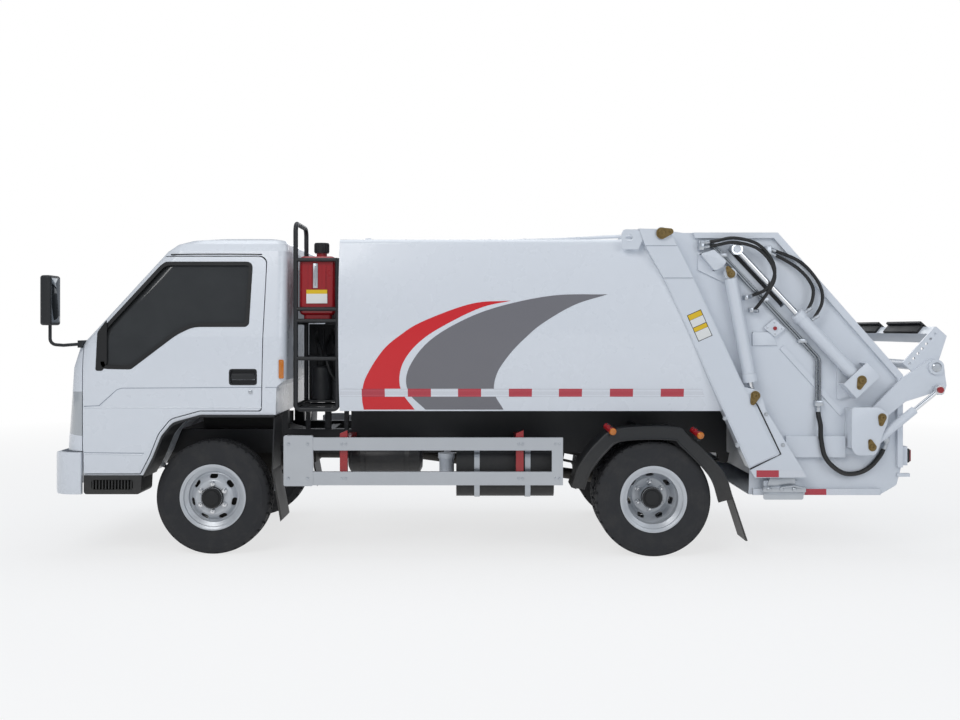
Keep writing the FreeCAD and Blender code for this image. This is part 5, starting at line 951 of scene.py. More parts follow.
class TRUCK_OT_cab_creases(bpy.types.Operator):
    """Fold lines as strips of painted shade, beads across the doors, mirror sails and gutter seals
    """
    bl_idname = "truck.cab_creases"
    bl_label = "Cab creases"

    def execute(self, context):
        for side, sign in SIDES:
            # Grey strips along the door's folds: painted shade of the creases
            dark = bmesh.new()
            for line in ([(338, 1073), (-548, 1068), (-578, 1058), (-690, 958), (-786, 954)],
                         [(-786, 662), (-410, 658)]):
                for (x0, z0), (x1, z1) in zip(line, line[1:]):
                    ribbon(dark, [(x0, z0), (x1, z1)], 3.6,
                           sign * (door_skin(z0 / 1000) * 1000 - 2),
                           sign * (door_skin(max(z0, z1) / 1000) * 1000 + 0.9))
            place_piece("door_crease_shade_" + side, dark, "door_" + side, "crease_shade")
            bead = bmesh.new()
            for line in ([(-786, 946), (330, 946)], [(-786, 653), (-420, 649)]):
                tube(bead, [at(x, sign * (door_skin(z / 1000) * 1000), z) for x, z in line],
                     0.0035, 8)
            place_piece("door_beads_" + side, bead, "door_" + side, "white_enamel")
            # Grey strip behind the door: painted shade of the same crease
            rear = bmesh.new()
            ribbon(rear, [(356, 1073), (440, 1073)], 3.6, sign * (door_skin(1.073) * 1000 - 2),
                   sign * (door_skin(1.073) * 1000 + 0.9))
            place_piece("rear_crease_shade_" + side, rear, "cab", "crease_shade")
            seal = bmesh.new()
            outline_plate(seal, rounded([(-712, 1178), (-668, 1176), (-640, 1226), (-640, 1500),
                                         (-700, 1420)], 14), sign * 869, sign * 871.5)
            place_piece("mirror_sail_" + side, seal, "door_" + side, "seal_rubber")
            points = [(-262, 1914), (-60, 1916), (140, 1916), (318, 1914)]
            gutter = bmesh.new()
            line = []
            for i in range(25):
                spot = smooth_run(points, i / 24)
                line.append(at(spot.x, sign * (door_skin(spot.y / 1000) * 1000 - 1), spot.y))
            tube(gutter, line, 0.0042, 8)
            place_piece("gutter_seal_" + side, gutter, "cab", "seal_rubber")
        return {"FINISHED"}


class TRUCK_OT_window_trim(bpy.types.Operator):
    """Black trim round the door windows"""
    bl_idname = "truck.window_trim"
    bl_label = "Window trim"

    def execute(self, context):
        outline = [(-680, 1190), (-490, 1185), (-200, 1405), (-100, 1453), (250, 1453),
                   (262, 1868), (-305, 1868), (-680, 1436)]
        for side, sign in SIDES:
            bm = bmesh.new()
            points = rounded(outline, 45, 5)
            verts = [bm.verts.new(at(x, 0, z)) for x, z in points]
            inner = inner_band(bm, verts, 0.024)
            for vert in bm.verts:
                vert.co.y = sign * (door_skin(vert.co.z) + 0.0015)
            pushed(bm, inner, (0, -sign * 0.022, 0))
            place_piece("window_seal_" + side, bm, "door_" + side, "seal_rubber")
        return {"FINISHED"}


def door_skin(z):
    """Half width of the cab's side at a height, by its levels."""
    levels = ((0.519, 0.856), (0.702, 0.862), (1.194, 0.870), (1.330, 0.870), (1.392, 0.868),
              (1.938, 0.785), (2.025, 0.640))
    for (z0, y0), (z1, y1) in zip(levels, levels[1:]):
        if z <= z1:
            return y0 + (y1 - y0) * (z - z0) / (z1 - z0)
    return levels[-1][1]


class TRUCK_OT_door_fittings(bpy.types.Operator):
    """Black handle cup, grip and lock on each door, reflector behind it"""
    bl_idname = "truck.door_fittings"
    bl_label = "Door fittings"

    def execute(self, context):
        for side, sign in SIDES:
            bm = bmesh.new()
            skin = 869.0
            outline_plate(bm, rounded([(133, 1093), (297, 1093), (297, 1183), (133, 1183)], 15),
                          19.5 - skin, 21.5 - skin)
            frame_plate(bm, [(127, 1087), (303, 1087), (303, 1189), (127, 1189)], 8, -skin - 2,
                        -skin + 8, 20)
            outline_plate(bm, rounded([(140, 1121), (290, 1121), (290, 1160), (140, 1160)], 12),
                          -skin - 3, -skin + 8, 0.002)
            if sign > 0:
                bmesh.ops.scale(bm, vec=(1, -1, 1), verts=bm.verts)
            place_piece("handle_cup_" + side, bm, "door_" + side, "moulded_black")
            lock = bmesh.new()
            stud(lock, at(262, sign * 870, 1044), (0, sign, 0), 0.013, 0.002, 0.009, 0.004, 24)
            place_piece("door_lock_" + side, lock, "door_" + side, "zinc")
            bm = bmesh.new()
            outline_plate(bm, rounded([(440, 1128), (472, 1128), (472, 1248), (440, 1248)], 8),
                          sign * 869, sign * 874, 0.002)
            place_piece("side_reflector_" + side, bm, "cab", "amber_lens")
        return {"FINISHED"}


class TRUCK_OT_front_fittings(bpy.types.Operator):
    """Step treads, fog lamps, wipers, blank number plate and mirror glass"""
    bl_idname = "truck.front_fittings"
    bl_label = "Front fittings"

    def execute(self, context):
        bm = bmesh.new()
        for index in range(13):
            x = -734 + 20 * index
            block(bm, at(x, -868, 431), at(x + 9, -742, 489), 0.003)
        mirror_copy(bm)
        place_piece("step_treads", bm, "cab", "moulded_black")
        bm = bmesh.new()
        frame_plate(bm, [(-640, 470), (-500, 470), (-500, 550), (-640, 550)], 7, 0, 4, 22)
        lens = bmesh.new()
        outline_plate(lens, rounded([(-632, 478), (-508, 478), (-508, 542), (-632, 542)], 20),
                      2, 9, 0.003)
        for shape, name, finish, slot in (
                (bm, "fog_lamp_bezels", "moulded_black", "black_plastic"),
                (lens, "fog_lamp_lenses", "clear_lens", "lamp_clear")):
            for vert in shape.verts:
                across = vert.co.x - at(0, 0, 0).x
                vert.co.x = at(BUMPER_FACE + vert.co.y * 1000, 0, 0).x
                vert.co.y = across
            mirror_copy(shape)
            place_piece(name, shape, "chassis", finish)
        bm = bmesh.new()
        for y in (-520, 60):
            tube(bm, [at(-795, y, 1402), at(-788, y + 60, 1425), at(-700, y + 330, 1530),
                      at(-640, y + 430, 1595)], 0.006)
            tube(bm, [at(-752, y + 40, 1462), at(-650, y + 450, 1578), at(-580, y + 560, 1660)],
                 0.004)
        place_piece("wipers", bm, "cab", "seal_rubber")
        bm = bmesh.new()
        block(bm, at(-1001, -190, 603), at(-999.5, 190, 662), 0.0006)
        for vert in bm.verts:
            vert.co.x += (vert.co.z - 0.603) * 0.257 + 0.0004
        place_piece("front_plate_blank", bm, "chassis", "vinyl_white")
        for side, sign in SIDES:
            bm = bmesh.new()
            y_mid = sign * 956
            block(bm, at(-929, y_mid - 62, 1480), at(-924, y_mid + 62, 1755), 0.002)
            place_piece("mirror_glass_" + side, bm, "cab", "mirror_glass")
        return {"FINISHED"}


# Tanks and rack

class TRUCK_OT_oil_tank_fittings(bpy.types.Operator):
    """Level gauge, blank label and cap grip on the red tank"""
    bl_idname = "truck.oil_tank_fittings"
    bl_label = "Oil tank fittings"

    def execute(self, context):
        bm = bmesh.new()
        block(bm, at(642, -790, 1700), at(672, -780, 1858), 0.003)
        place_piece("level_gauge", bm, "chassis", "zinc")
        bm = bmesh.new()
        block(bm, at(652, -793, 1716), at(662, -787, 1842), 0.002)
        place_piece("gauge_tube", bm, "chassis", "clear_lens")
        for name, finish, z0, z1 in (("tank_label_top", "vinyl_yellow", 1664, 1690),
                                     ("tank_label_low", "vinyl_white", 1603, 1664)):
            bm = bmesh.new()
            block(bm, at(600, -790, z0), at(733, -788.2, z1), 0.0005, 1)
            place_piece(name, bm, "chassis", finish)
        bm = bmesh.new()
        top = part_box("tank_cap")[1][2]
        middle = centre("tank_cap")
        for index in range(18):
            turn = index * math.pi / 9
            spot = Vector((middle.x + 0.0465 * math.cos(turn), middle.y + 0.0465 * math.sin(turn),
                           top - 0.033))
            block(bm, spot - Vector((0.003, 0.003, 0.026)), spot + Vector((0.003, 0.003, 0.026)),
                  0.001, 1)
        place_piece("cap_grip", bm, "chassis", "moulded_black")
        return {"FINISHED"}


# Rear posts and tailgate

class TRUCK_OT_post_fittings(bpy.types.Operator):
    """Pin ends, bolts, cover plates, tape and blank warning plates on the rear posts"""
    bl_idname = "truck.post_fittings"
    bl_label = "Post fittings"

    def execute(self, context):
        for side, sign in SIDES:
            out = Vector((0, sign, 0))
            for name, place in (("hinge", (2843, 2039, 899.3, out, 31, 12)),
                                ("lift", (3429, 1022, 893.3, out, 26, 250))):
                bm = bmesh.new()
                keeper(bm, *place)
                place_piece("%s_pin_keeper_%s" % (name, side), bm, "chassis", "brass")
            # Black strip between the post's foot and the gusset: painted shade of the gap between
            # them
            bm = bmesh.new()
            ribbon(bm, [(3419, 1000), (3448, 958), (3592, 655), (3398, 560)], 8, sign * GUSSET_FACE,
                   sign * 883)
            place_piece("post_foot_shade_strip_" + side, bm, "chassis", "seal_rubber")
            for name, finish, x0, x1 in (("gusset_tape_red_", "tape_red", 3440, 3580),
                                         ("gusset_tape_white_", "tape_white", 3580, 3740)):
                bm = bmesh.new()
                # The last strip is cut along the gusset's sloping edge
                foot, top = (x1 + 12, x1 - 16) if x1 > 3700 else (x1, x1)
                outline_plate(bm, [(x0, 510), (foot, 510), (top, 553), (x0, 553)],
                              sign * GUSSET_FACE, sign * 880.4)
                place_piece(name + side, bm, "chassis", finish)
            bm = bmesh.new()
            for x, z in ((3240, 880), (3318, 712), (3606, 712), (3500, 905)):
                hex_bolt(bm, at(x, sign * (POST_FACE if x < 3400 else GUSSET_FACE), z), out, 0.016)
            place_piece("post_bolts_" + side, bm, "chassis", "zinc")
            bm = bmesh.new()
            outline_plate(bm, [(2866, 1754), (3040, 1754), (3340, 1106), (3424, 949), (3566, 654),
                               (3400, 576), (3158, 1105)], sign * POST_FACE, sign * 888.5, 0.001, 1)
            place_piece("post_plate_" + side, bm, "chassis", "white_plate")
            # Grey lines across the post: painted shade of its folds
            bm = bmesh.new()
            ribbon(bm, [(2745, 1962), (2940, 1962)], 3.5, sign * 885.1, sign * 885.9)
            ribbon(bm, [(2860, 1760), (3040, 1760)], 3.5, sign * 885.1, sign * 885.9)
            place_piece("post_crease_shade_" + side, bm, "chassis", "crease_shade")
            middle = Vector((3087, 1449))
            lean = math.radians(-24)
            for name, finish, high, spans in (
                    ("back", "seal_rubber", 888.9, ((-48, 48, -76, 104),)),
                    ("yellow", "vinyl_yellow", 889.6, ((-44, 44, 68, 100), (-44, 44, -12, 14))),
                    ("white", "vinyl_white", 889.6, ((-44, 44, 18, 66), (-44, 44, -72, -14)))):
                bm = bmesh.new()
                for x0, x1, z0, z1 in spans:
                    corners = []
                    for x, z in ((x0, z0), (x1, z0), (x1, z1), (x0, z1)):
                        corners.append((middle.x + x * math.cos(lean) + z * math.sin(lean),
                                        middle.y + z * math.cos(lean) - x * math.sin(lean)))
                    outline_plate(bm, corners, sign * 888.3, sign * high)
                place_piece("warning_plate_%s_%s" % (name, side), bm, "chassis", finish)
        return {"FINISHED"}


class TRUCK_OT_gate_fittings(bpy.types.Operator):
    """Pin ends, cheek plates, valve plate, foot clamp, tape and the lifter's caps"""
    bl_idname = "truck.gate_fittings"
    bl_label = "Tailgate fittings"

    def execute(self, context):
        for side, sign in SIDES:
            out = Vector((0, sign, 0))
            brass = bmesh.new()
            for x, z, y, r, lean in ((3285, 1788, 860.3, 23, 120), (4097, 1118, 890.3, 26, 250),
                                     (4224, 885, 892.3, 23, 260), (4162, 700, 892.3, 22, 110)):
                keeper(brass, x, z, y, out, r, lean)
            place_piece("gate_pin_keepers_" + side, brass, "tailgate", "brass")
            box = bmesh.new()
            # Square arm end beside the lift cylinder's top pin
            outline_plate(box, rounded([(3098, 1916), (3152, 1932), (3186, 1944), (3266, 1866),
                                        (3240, 1830), (3188, 1808)], 8), sign * 786.2,
                          sign * 836, 0.004)
            # Cheek over the slide cylinder's anchor, on two webs
            spot = Vector((4097, 1118))
            for ahead, high, back, low, y0, y1 in ((62, 100, -60, -100, 882, 890),
                                                   (62, 100, -60, 92, GATE_WALL, 882),
                                                   (62, -92, -60, -100, GATE_WALL, 882)):
                corners = [tuple(spot + SLIDE_WAY * along + SLIDE_RISE * up) for along, up in
                           ((ahead, high), (back, high), (back, low), (ahead, low))]
                outline_plate(box, corners, sign * y0, sign * y1, 0.002)
            # Cheek over the lifter's pins, on a web at its front
            outline_plate(box, rounded([(4033, 948), (4205, 950), (4266, 905), (4256, 840),
                                        (4222, 765), (4205, 690), (4180, 648), (4060, 648),
                                        (4033, 690)], 22), sign * 884, sign * 892, 0.002)
            outline_plate(box, [(4033, 940), (4043, 940), (4043, 690), (4033, 690)],
                          sign * GATE_WALL, sign * 886, 0.001)
            # Valve plate standing on its corner
            outline_plate(box, rounded([(3577, 1505), (3649, 1443), (3584, 1386), (3508, 1448)],
                                       12), sign * 782.2, sign * 794, 0.002)
            outline_plate(box, rounded([(3440, 1420), (3560, 1420), (3600, 1334), (3440, 1334)],
                                       6), sign * GATE_WALL, sign * 784, 0.003)
            place_piece("gate_cheeks_" + side, box, "tailgate", "white_plate")
            bm = bmesh.new()
            for x, z in ((3577, 1480), (3625, 1443), (3582, 1408), (3532, 1448)):
                lathe(bm, [(0, 0), (0.006, 0), (0.006, 0.002), (0, 0.003)],
                      at(x, sign * VALVE_FACE, z), out, 12)
            place_piece("valve_plate_screws_" + side, bm, "tailgate", "zinc")
            bm = bmesh.new()
            stud(bm, at(3580, sign * VALVE_FACE, 1444), out, 0.012, 0.008, 0.009, 0.011)
            place_piece("valve_plug_" + side, bm, "tailgate", "red_enamel")
            bm = bmesh.new()
            outline_plate(bm, rounded([(3516, 430), (3700, 430), (3700, 505), (3540, 505)], 16),
                          sign * 822.3, sign * 827, 0.001)
            outline_plate(bm, rounded([(3498, 360), (3752, 360), (3752, 408), (3498, 408)], 14),
                          sign * 822.3, sign * 827, 0.001)
            block(bm, at(3492, sign * 834 - 7, 408), at(3764, sign * 834 + 7, 446), 0.004)
            for x in (3530, 3610, 3690):
                stud(bm, at(x, sign * 841, 427), out, 0.014, 0.008, 0.009, 0.012)
            tube(bm, [at(3600, sign * 846, 440), at(3680, sign * 852, 452),
                      at(3752, sign * 850, 436)], 0.007)
            place_piece("toggle_clamp_" + side, bm, "tailgate", "zinc")
            # Black strip behind the slot: painted shade of the dark inside of the hopper
            bm = bmesh.new()
            ribbon(bm, [(3316, 1953), (3640, 1606)], 50, sign * 763.5, sign * 762.5)
            place_piece("slot_shade_strip_" + side, bm, "tailgate", "seal_rubber")
            for hue, slot, x0, x1 in (("red", "lamp_red", 3768, 3905),
                                      ("white", "white_paint", 3905, 4060)):
                bm = bmesh.new()
                outline_plate(bm, [(x0, 386), (x1, 386), (x1, 424), (x0, 424)],
                              sign * GATE_RIB, sign * 801.5)
                place_piece("gate_tape_%s_%s" % (hue, side), bm, "tailgate", "tape_" + hue)
            bm = bmesh.new()
            lathe(bm, [(0, 0), (0.030, 0), (0.030, 0.006), (0.022, 0.012), (0, 0.013)],
                  at(4590, sign * 836, 1199), out, 28)
            place_piece("lifter_boss_cap_" + side, bm, "lifter", "zinc")
            bm = bmesh.new()
            lathe(bm, [(0, 0), (0.020, 0), (0.020, 0.01), (0, 0.012)],
                  at(4598, sign * 870, 1057), out, 24)
            place_piece("lifter_eye_cap_" + side, bm, "lifter", "red_enamel")
        return {"FINISHED"}


class TRUCK_OT_rear_lamps(bpy.types.Operator):
    """Three-part tail lamps in black housings and a blank rear plate"""
    bl_idname = "truck.rear_lamps"
    bl_label = "Rear lamps"

    def execute(self, context):
        low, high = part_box("tail_lamps")
        face = high[0]
        housing = bmesh.new()
        parts = {"red_lens": bmesh.new(), "amber_lens": bmesh.new(), "clear_lens": bmesh.new()}
        for y0, y1 in ((low[1], low[1] + 0.24), (high[1] - 0.24, high[1])):
            block(housing, (face - 0.032, y0, low[2]), (face - 0.010, y1, high[2]), 0.008, 3)
            outer = -1 if y0 < 0 else 1
            edge = y0 if y0 < 0 else y1
            for key, near, far in (("red_lens", 0.008, 0.094), ("amber_lens", 0.097, 0.158),
                                   ("clear_lens", 0.161, 0.232)):
                a, b = sorted((edge - outer * near, edge - outer * far))
                block(parts[key], (face - 0.011, a, low[2] + 0.007),
                      (face, b, high[2] - 0.007), 0.005, 3)
        case = place_piece("tail_lamp_cases", housing, "tailgate", "moulded_black")
        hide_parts("tail_lamps")
        for key, slot in (("red_lens", "lamp_red"), ("amber_lens", "lamp_amber"),
                          ("clear_lens", "lamp_clear")):
            place_piece("tail_" + key, parts[key], "tailgate", key)
        bm = bmesh.new()
        block(bm, (face - 0.0318, -0.22, low[2] - 0.005), (face - 0.0290, 0.22, low[2] + 0.115),
              0.001)
        place_piece("rear_plate_blank", bm, "tailgate", "vinyl_yellow")
        return {"FINISHED"}


class TRUCK_OT_pad_treads(bpy.types.Operator):
    """Ribs across the lifter's rubber pads"""
    bl_idname = "truck.pad_treads"
    bl_label = "Lifter pads"

    def execute(self, context):
        bm = bmesh.new()
        low = at(4664, 0, 1394)
        high = at(4597, 0, 1455)
        run = (high - low).normalized()
        lift = Vector((-run.z, 0, run.x))
        if lift.z < 0:
            lift = -lift
        for y0 in (-625, 75):
            for index in range(5):
                spot = low + run * (0.026 + 0.022 * index) + lift * 0.0165
                made = bmesh.ops.create_cube(bm, size=1.0)["verts"]
                bmesh.ops.scale(bm, vec=(0.010, 0.53, 0.005), verts=made)
                made = soften(bm, made, 0.0015)
                set_down(bm, made, Matrix.Rotation(math.atan2(lift.x, lift.z), 3, "Y"),
                         spot + Vector((0, (y0 + 275) / 1000, 0)))
            outline_plate(bm, rounded([(4560, 1409), (4597, 1455), (4608, 1462), (4600, 1470),
                                       (4586, 1466), (4549, 1420)], 4), y0, y0 + 550, 0.002)
        place_piece("pad_ribs", bm, "lifter", "seal_rubber")
        return {"FINISHED"}


# Rear mudguards

GUARD_LINE = [(3297, 375), (3227, 555), (3017, 768), (2928, 825), (2571, 814), (2438, 728),
              (2329, 588), (2278, 445)]
GUARD_EDGE = [(3203, 350), (3143, 515), (2966, 702), (2902, 741), (2602, 734), (2500, 665),
              (2405, 545), (2362, 430)]


class TRUCK_OT_mudguard_skirts(bpy.types.Operator):
    """Deep outer flange of the rear mudguards with its rolled edges"""
    bl_idname = "truck.mudguard_skirts"
    bl_label = "Mudguard skirts"

    def execute(self, context):
        bm = bmesh.new()
        count = 48
        outer = [smooth_run(GUARD_LINE, i / count) for i in range(count + 1)]
        inner = [smooth_run(GUARD_EDGE, i / count) for i in range(count + 1)]
        rows = []
        for a, b in zip(outer, inner):
            rows.append([bm.verts.new(at(p.x, y, p.y)) for p, y in (
                (a, -868), (a, -876), (a.lerp(b, 0.10), -880), (a.lerp(b, 0.22), -876),
                (a.lerp(b, 0.84), -875), (a.lerp(b, 0.93), -880), (b, -877), (b, -868))])
        for first, second in zip(rows, rows[1:]):
            for i in range(len(first)):
                j = (i + 1) % len(first)
                bm.faces.new((first[i], first[j], second[j], second[i]))
        bm.faces.new(rows[0])
        bm.faces.new(rows[-1])
        mirror_copy(bm)
        place_piece("mudguard_skirts", bm, "chassis", "moulded_black")
        return {"FINISHED"}


class TRUCK_OT_marker_lamps(bpy.types.Operator):
    """Round amber lamps on red tubes above the mudguards"""
    bl_idname = "truck.marker_lamps"
    bl_label = "Marker lamps"

    def execute(self, context):
        red = bmesh.new()
        amber = bmesh.new()
        black = bmesh.new()
        for x, z in ((2536, 800), (3084, 776)):
            way = Vector((0.34, -1.0, -0.30)).normalized()
            start = at(x - 30, -815, z + 24)
            lathe(red, [(0, 0), (0.021, 0), (0.021, 0.085), (0.024, 0.087), (0.024, 0.093),
                        (0, 0.093)], start, way, 24)
            lathe(amber, [(0, 0), (0.023, 0), (0.023, 0.008), (0.019, 0.014), (0.010, 0.017),
                          (0, 0.018)], start + way * 0.0932, way, 28)
            for reach, drop in ((0.030, -0.034), (0.075, -0.030)):
                spot = start + way * reach
                block(black, spot + Vector((-0.010, -0.004, drop - 0.012)),
                      spot + Vector((0.010, 0.004, 0.026)), 0.002)
        for bm in (red, amber, black):
            mirror_copy(bm)
        place_piece("marker_tubes", red, "chassis", "red_enamel")
        lens = place_piece("marker_lenses", amber, "chassis", "amber_lens")
        place_piece("marker_clips", black, "chassis", "moulded_black")
        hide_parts("marker_lamps")
        return {"FINISHED"}


# Hydraulic lines

def run_points(points, steps=40):
    """Points of (x, y, z) millimetres made into a smooth run in metres."""
    return [at(*smooth_run(points, i / steps)) for i in range(steps + 1)]


# Where the two upper hoses end on the gate's wall, in (x, z)
HOSE_PORTS = ((3400, 1640), (3432, 1560))


class TRUCK_OT_hydraulic_lines(bpy.types.Operator):
    """Rubber hoses with crimped ends, steel pipes, clips and port blocks"""
    bl_idname = "truck.hydraulic_lines"
    bl_label = "Hydraulic lines"

    def execute(self, context):
        hoses = []
        for drop, (px, pz) in zip((0, 28), HOSE_PORTS):
            hoses.append(([(3112, -814, 1985 - drop), (3200, -822, 1998 - drop),
                           (3300, -874, 2012 - drop), (3440, -874, 1978 - drop),
                           (3530, -874, 1888 - drop), (3556, -874, 1790 - drop),
                           (3512, -866, 1695 - drop), (px + 20, -806, pz + 8),
                           (px, -788, pz)], 10.5))
        for lift, along, bends in (
                (0, 585, [(3646, -808, 1874), (3748, -824, 1796), (3806, -833, 1708),
                          (3806, -835, 1630)]),
                (26, 650, [(3716, -810, 1878), (3808, -826, 1790), (3862, -835, 1690),
                           (3864, -835, 1600)])):
            port = SLIDE_PIN + SLIDE_WAY * along + SLIDE_RISE * 46
            hoses.append(([(3540, -794, 1926 + lift)] + bends
                          + [(port.x + 18, -835, port.y + 17), (port.x, -835, port.y)], 10.5))
        hoses.append(([(3857, -792, 962), (3857, -792, 900), (3860, -824, 830), (3864, -824, 740),
                       (3895, -824, 620), (3990, -814, 535), (4090, -790, 520),
                       (4180, -787, 556), (4255, -787, 640), (4288, -787, 722)], 15))
        rubber = bmesh.new()
        zinc = bmesh.new()
        steel = bmesh.new()
        for points, radius in hoses:
            line = run_points(points, 56)
            tube(rubber, line, radius / 1000, 12)
            for end, after in ((line[0], line[3]), (line[-1], line[-4])):
                way = (after - end).normalized()
                r = radius / 1000
                lathe(zinc, [(0, -0.004), (r * 1.25, -0.004), (r * 1.25, 0.012), (r * 1.05, 0.014),
                             (r * 1.05, 0.018), (r * 1.22, 0.020), (r * 1.22, 0.046),
                             (r * 1.02, 0.049), (0, 0.049)], end, way, 18)
        for shift in (0, 22):
            bends = [(3151, 2000 - 0.2 * shift), (3822, 1278), (3836, 1262), (3843, 1248),
                     (3845, 1228), (3845, 958)]
            tube(steel, [at(x + shift, -792, z) for x, z in bends], 0.0078, 14)
        for share in (0.12, 0.5, 0.85):
            x = 3151 + 694 * share
            z = 2000 - 747 * share
            block(zinc, at(x - 16, -804, z - 12), at(x + 42, -GATE_WALL, z + 12), 0.003)
        for x0, y, z0, x1, z1 in ((3830, -810, 950, 3884, 986), (3092, -826, 1940, 3124, 2000),
                                  (3514, -808, 1912, 3556, 1968)):
            block(zinc, at(x0, y, z0), at(x1, -GATE_WALL, z1), 0.004)
        for px, pz in HOSE_PORTS:
            block(zinc, at(px - 16, -812, pz - 15), at(px + 8, -GATE_WALL, pz + 15), 0.003)
        block(zinc, at(4272, -802, 718), at(4308, -GATE_WALL, 752), 0.003)
        for bm in (rubber, zinc, steel):
            mirror_copy(bm)
        lines = place_piece("gate_hoses", rubber, "tailgate", "hose_rubber")
        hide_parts("hydraulic_lines")
        place_piece("hose_fittings", zinc, "tailgate", "zinc")
        place_piece("gate_pipes", steel, "tailgate", "pipe_steel")
        return {"FINISHED"}


# Roof and space behind the cab

class TRUCK_OT_roof_lines(bpy.types.Operator):
    """Painted pipes along the roof, lifting lug and vent nub"""
    bl_idname = "truck.roof_lines"
    bl_label = "Roof lines"

    def execute(self, context):
        bm = bmesh.new()
        for y, rise in ((-560, 0), (-520, 6), (-480, 12)):
            tube(bm, [at(1850, y, 2008), at(1870, y, 2021), at(2200, y, 2030 + rise / 2),
                      at(2560, y, 2044 + rise), at(2700, y, 2050 + rise)], 0.009, 10)
        for x in (2000, 2350, 2640):
            block(bm, at(x - 12, -580, 2000), at(x + 12, -460, 2034 + (x - 2000) * 0.03), 0.003)
        outline_plate(bm, rounded([(955, 1984), (1012, 1984), (1004, 2026), (963, 2026)], 10),
                      -700, -688, 0.001)
        lathe(bm, [(0, 0), (0.022, 0), (0.022, 0.006), (0.009, 0.010), (0.009, 0.020),
                   (0, 0.022)], at(1769, -600, 2008), (0, 0, 1), 20)
        place_piece("roof_lines", bm, "chassis", "white_enamel")
        return {"FINISHED"}


class TRUCK_OT_service_bay(bpy.types.Operator):
    """Splash panel, canisters and hoses behind the cab, air reservoirs under the body"""
    bl_idname = "truck.service_bay"
    bl_label = "Service bay"

    def execute(self, context):
        bm = bmesh.new()
        block(bm, at(548, -380, 962), at(800, -366, 1474), 0.006)
        for x in (590, 640, 690, 740):
            block(bm, at(x, -392, 985), at(x + 16, -379, 1450), 0.005)
        lathe(bm, [(0, 0), (0.062, 0), (0.066, 0.006), (0.066, 0.20), (0.060, 0.215),
                   (0.050, 0.225), (0, 0.225)], at(650, -470, 970), (0, 0, 1), 32)
        stud(bm, at(752, -455, 970), (0, 0, 1), 0.045, 0.13, 0.030, 0.14, 28)
        block(bm, at(560, -530, 955), at(800, -392, 970), 0.004)
        place_piece("service_panel", bm, "chassis", "moulded_black")
        bm = bmesh.new()
        for points in (
                [(650, -470, 1190), (648, -480, 1280), (620, -460, 1360), (600, -386, 1420)],
                [(752, -455, 1105), (770, -480, 1220), (742, -500, 1330), (720, -386, 1440)],
                [(690, -386, 1400), (676, -470, 1300), (704, -520, 1180), (760, -480, 1060)]):
            tube(bm, run_points(points, 24), 0.011, 10)
        place_piece("service_hoses", bm, "chassis", "hose_rubber")
        bm = bmesh.new()
        for sign in (-1, 1):
            lathe(bm, [(0, 0), (0.060, 0.004), (0.088, 0.018), (0.096, 0.035), (0.096, 0.455),
                       (0.088, 0.472), (0.060, 0.486), (0, 0.490)],
                  at(840, sign * 560, 590), (1, 0, 0), 40)
            for x in (940, 1230):
                lathe(bm, [(0.0965, -0.016), (0.0995, -0.016), (0.0995, 0.016), (0.0965, 0.016),
                           (0.0965, -0.016)], at(x, sign * 560, 590), (1, 0, 0), 40)
                low, high = sorted((sign * 350.3, sign * 500))
                block(bm, at(x - 16, low, 640), at(x + 16, high, 672), 0.003)
        place_piece("air_reservoirs", bm, "chassis", "chassis_black")
        return {"FINISHED"}


# Guards and underside

class TRUCK_OT_guard_fittings(bpy.types.Operator):
    """Bolts on the side guards and straps round the fuel tank"""
    bl_idname = "truck.guard_fittings"
    bl_label = "Guard and tank fittings"

    def execute(self, context):
        bm = bmesh.new()
        for sign in (-1, 1):
            out = Vector((0, sign, 0))
            for x in (500, 620):
                for z in (500, 716):
                    hex_bolt(bm, at(x, sign * 870, z), out, 0.014)
            for x in (836, 862, 1948, 1974, 2180, 2204):
                for z in (499, 716):
                    hex_bolt(bm, at(x, sign * 866, z), out, 0.012)
        place_piece("guard_bolts", bm, "chassis", "zinc")
        bm = bmesh.new()
        for x in (1668, 1992):
            frame_points = rounded([(-392, 361), (-774, 361), (-774, 680), (-392, 680)], 64, 6)
            verts = [bm.verts.new(at(x, y, z)) for y, z in frame_points]
            pushed(bm, inner_band(bm, verts, 0.003), (0.035, 0, 0))
        place_piece("fuel_tank_straps", bm, "chassis", "zinc")
        return {"FINISHED"}


# Seats

def baked(piece):
    """Puts the result of a piece's modifiers into its mesh and clears them."""
    graph = bpy.context.evaluated_depsgraph_get()
    mesh = bpy.data.meshes.new_from_object(piece.evaluated_get(graph))
    mesh.name = piece.name
    piece.modifiers.clear()
    piece.data = mesh


def stuffed(piece, cap):
    """Swells a pad by pressure under its cover; no point moves further than cap."""
    scene = bpy.context.scene
    even = piece.modifiers.new("even_mesh", "REMESH")
    even.mode = "VOXEL"
    even.voxel_size = sizes().pad_voxel
    baked(piece)
    start = [vert.co.copy() for vert in piece.data.vertices]
    cover = piece.modifiers.new("cover", "CLOTH")
    cover.settings.quality = 3
    cover.collision_settings.use_collision = False
    cover.settings.use_pressure = True
    cover.settings.uniform_pressure_force = 4.0
    cover.settings.effector_weights.gravity = 0.0
    for number in range(1, 21):
        scene.frame_set(number)
    baked(piece)
    scene.frame_set(1)
    for vert, place in zip(piece.data.vertices, start):
        move = vert.co - place
        if move.length > cap:
            vert.co = place + move.normalized() * cap


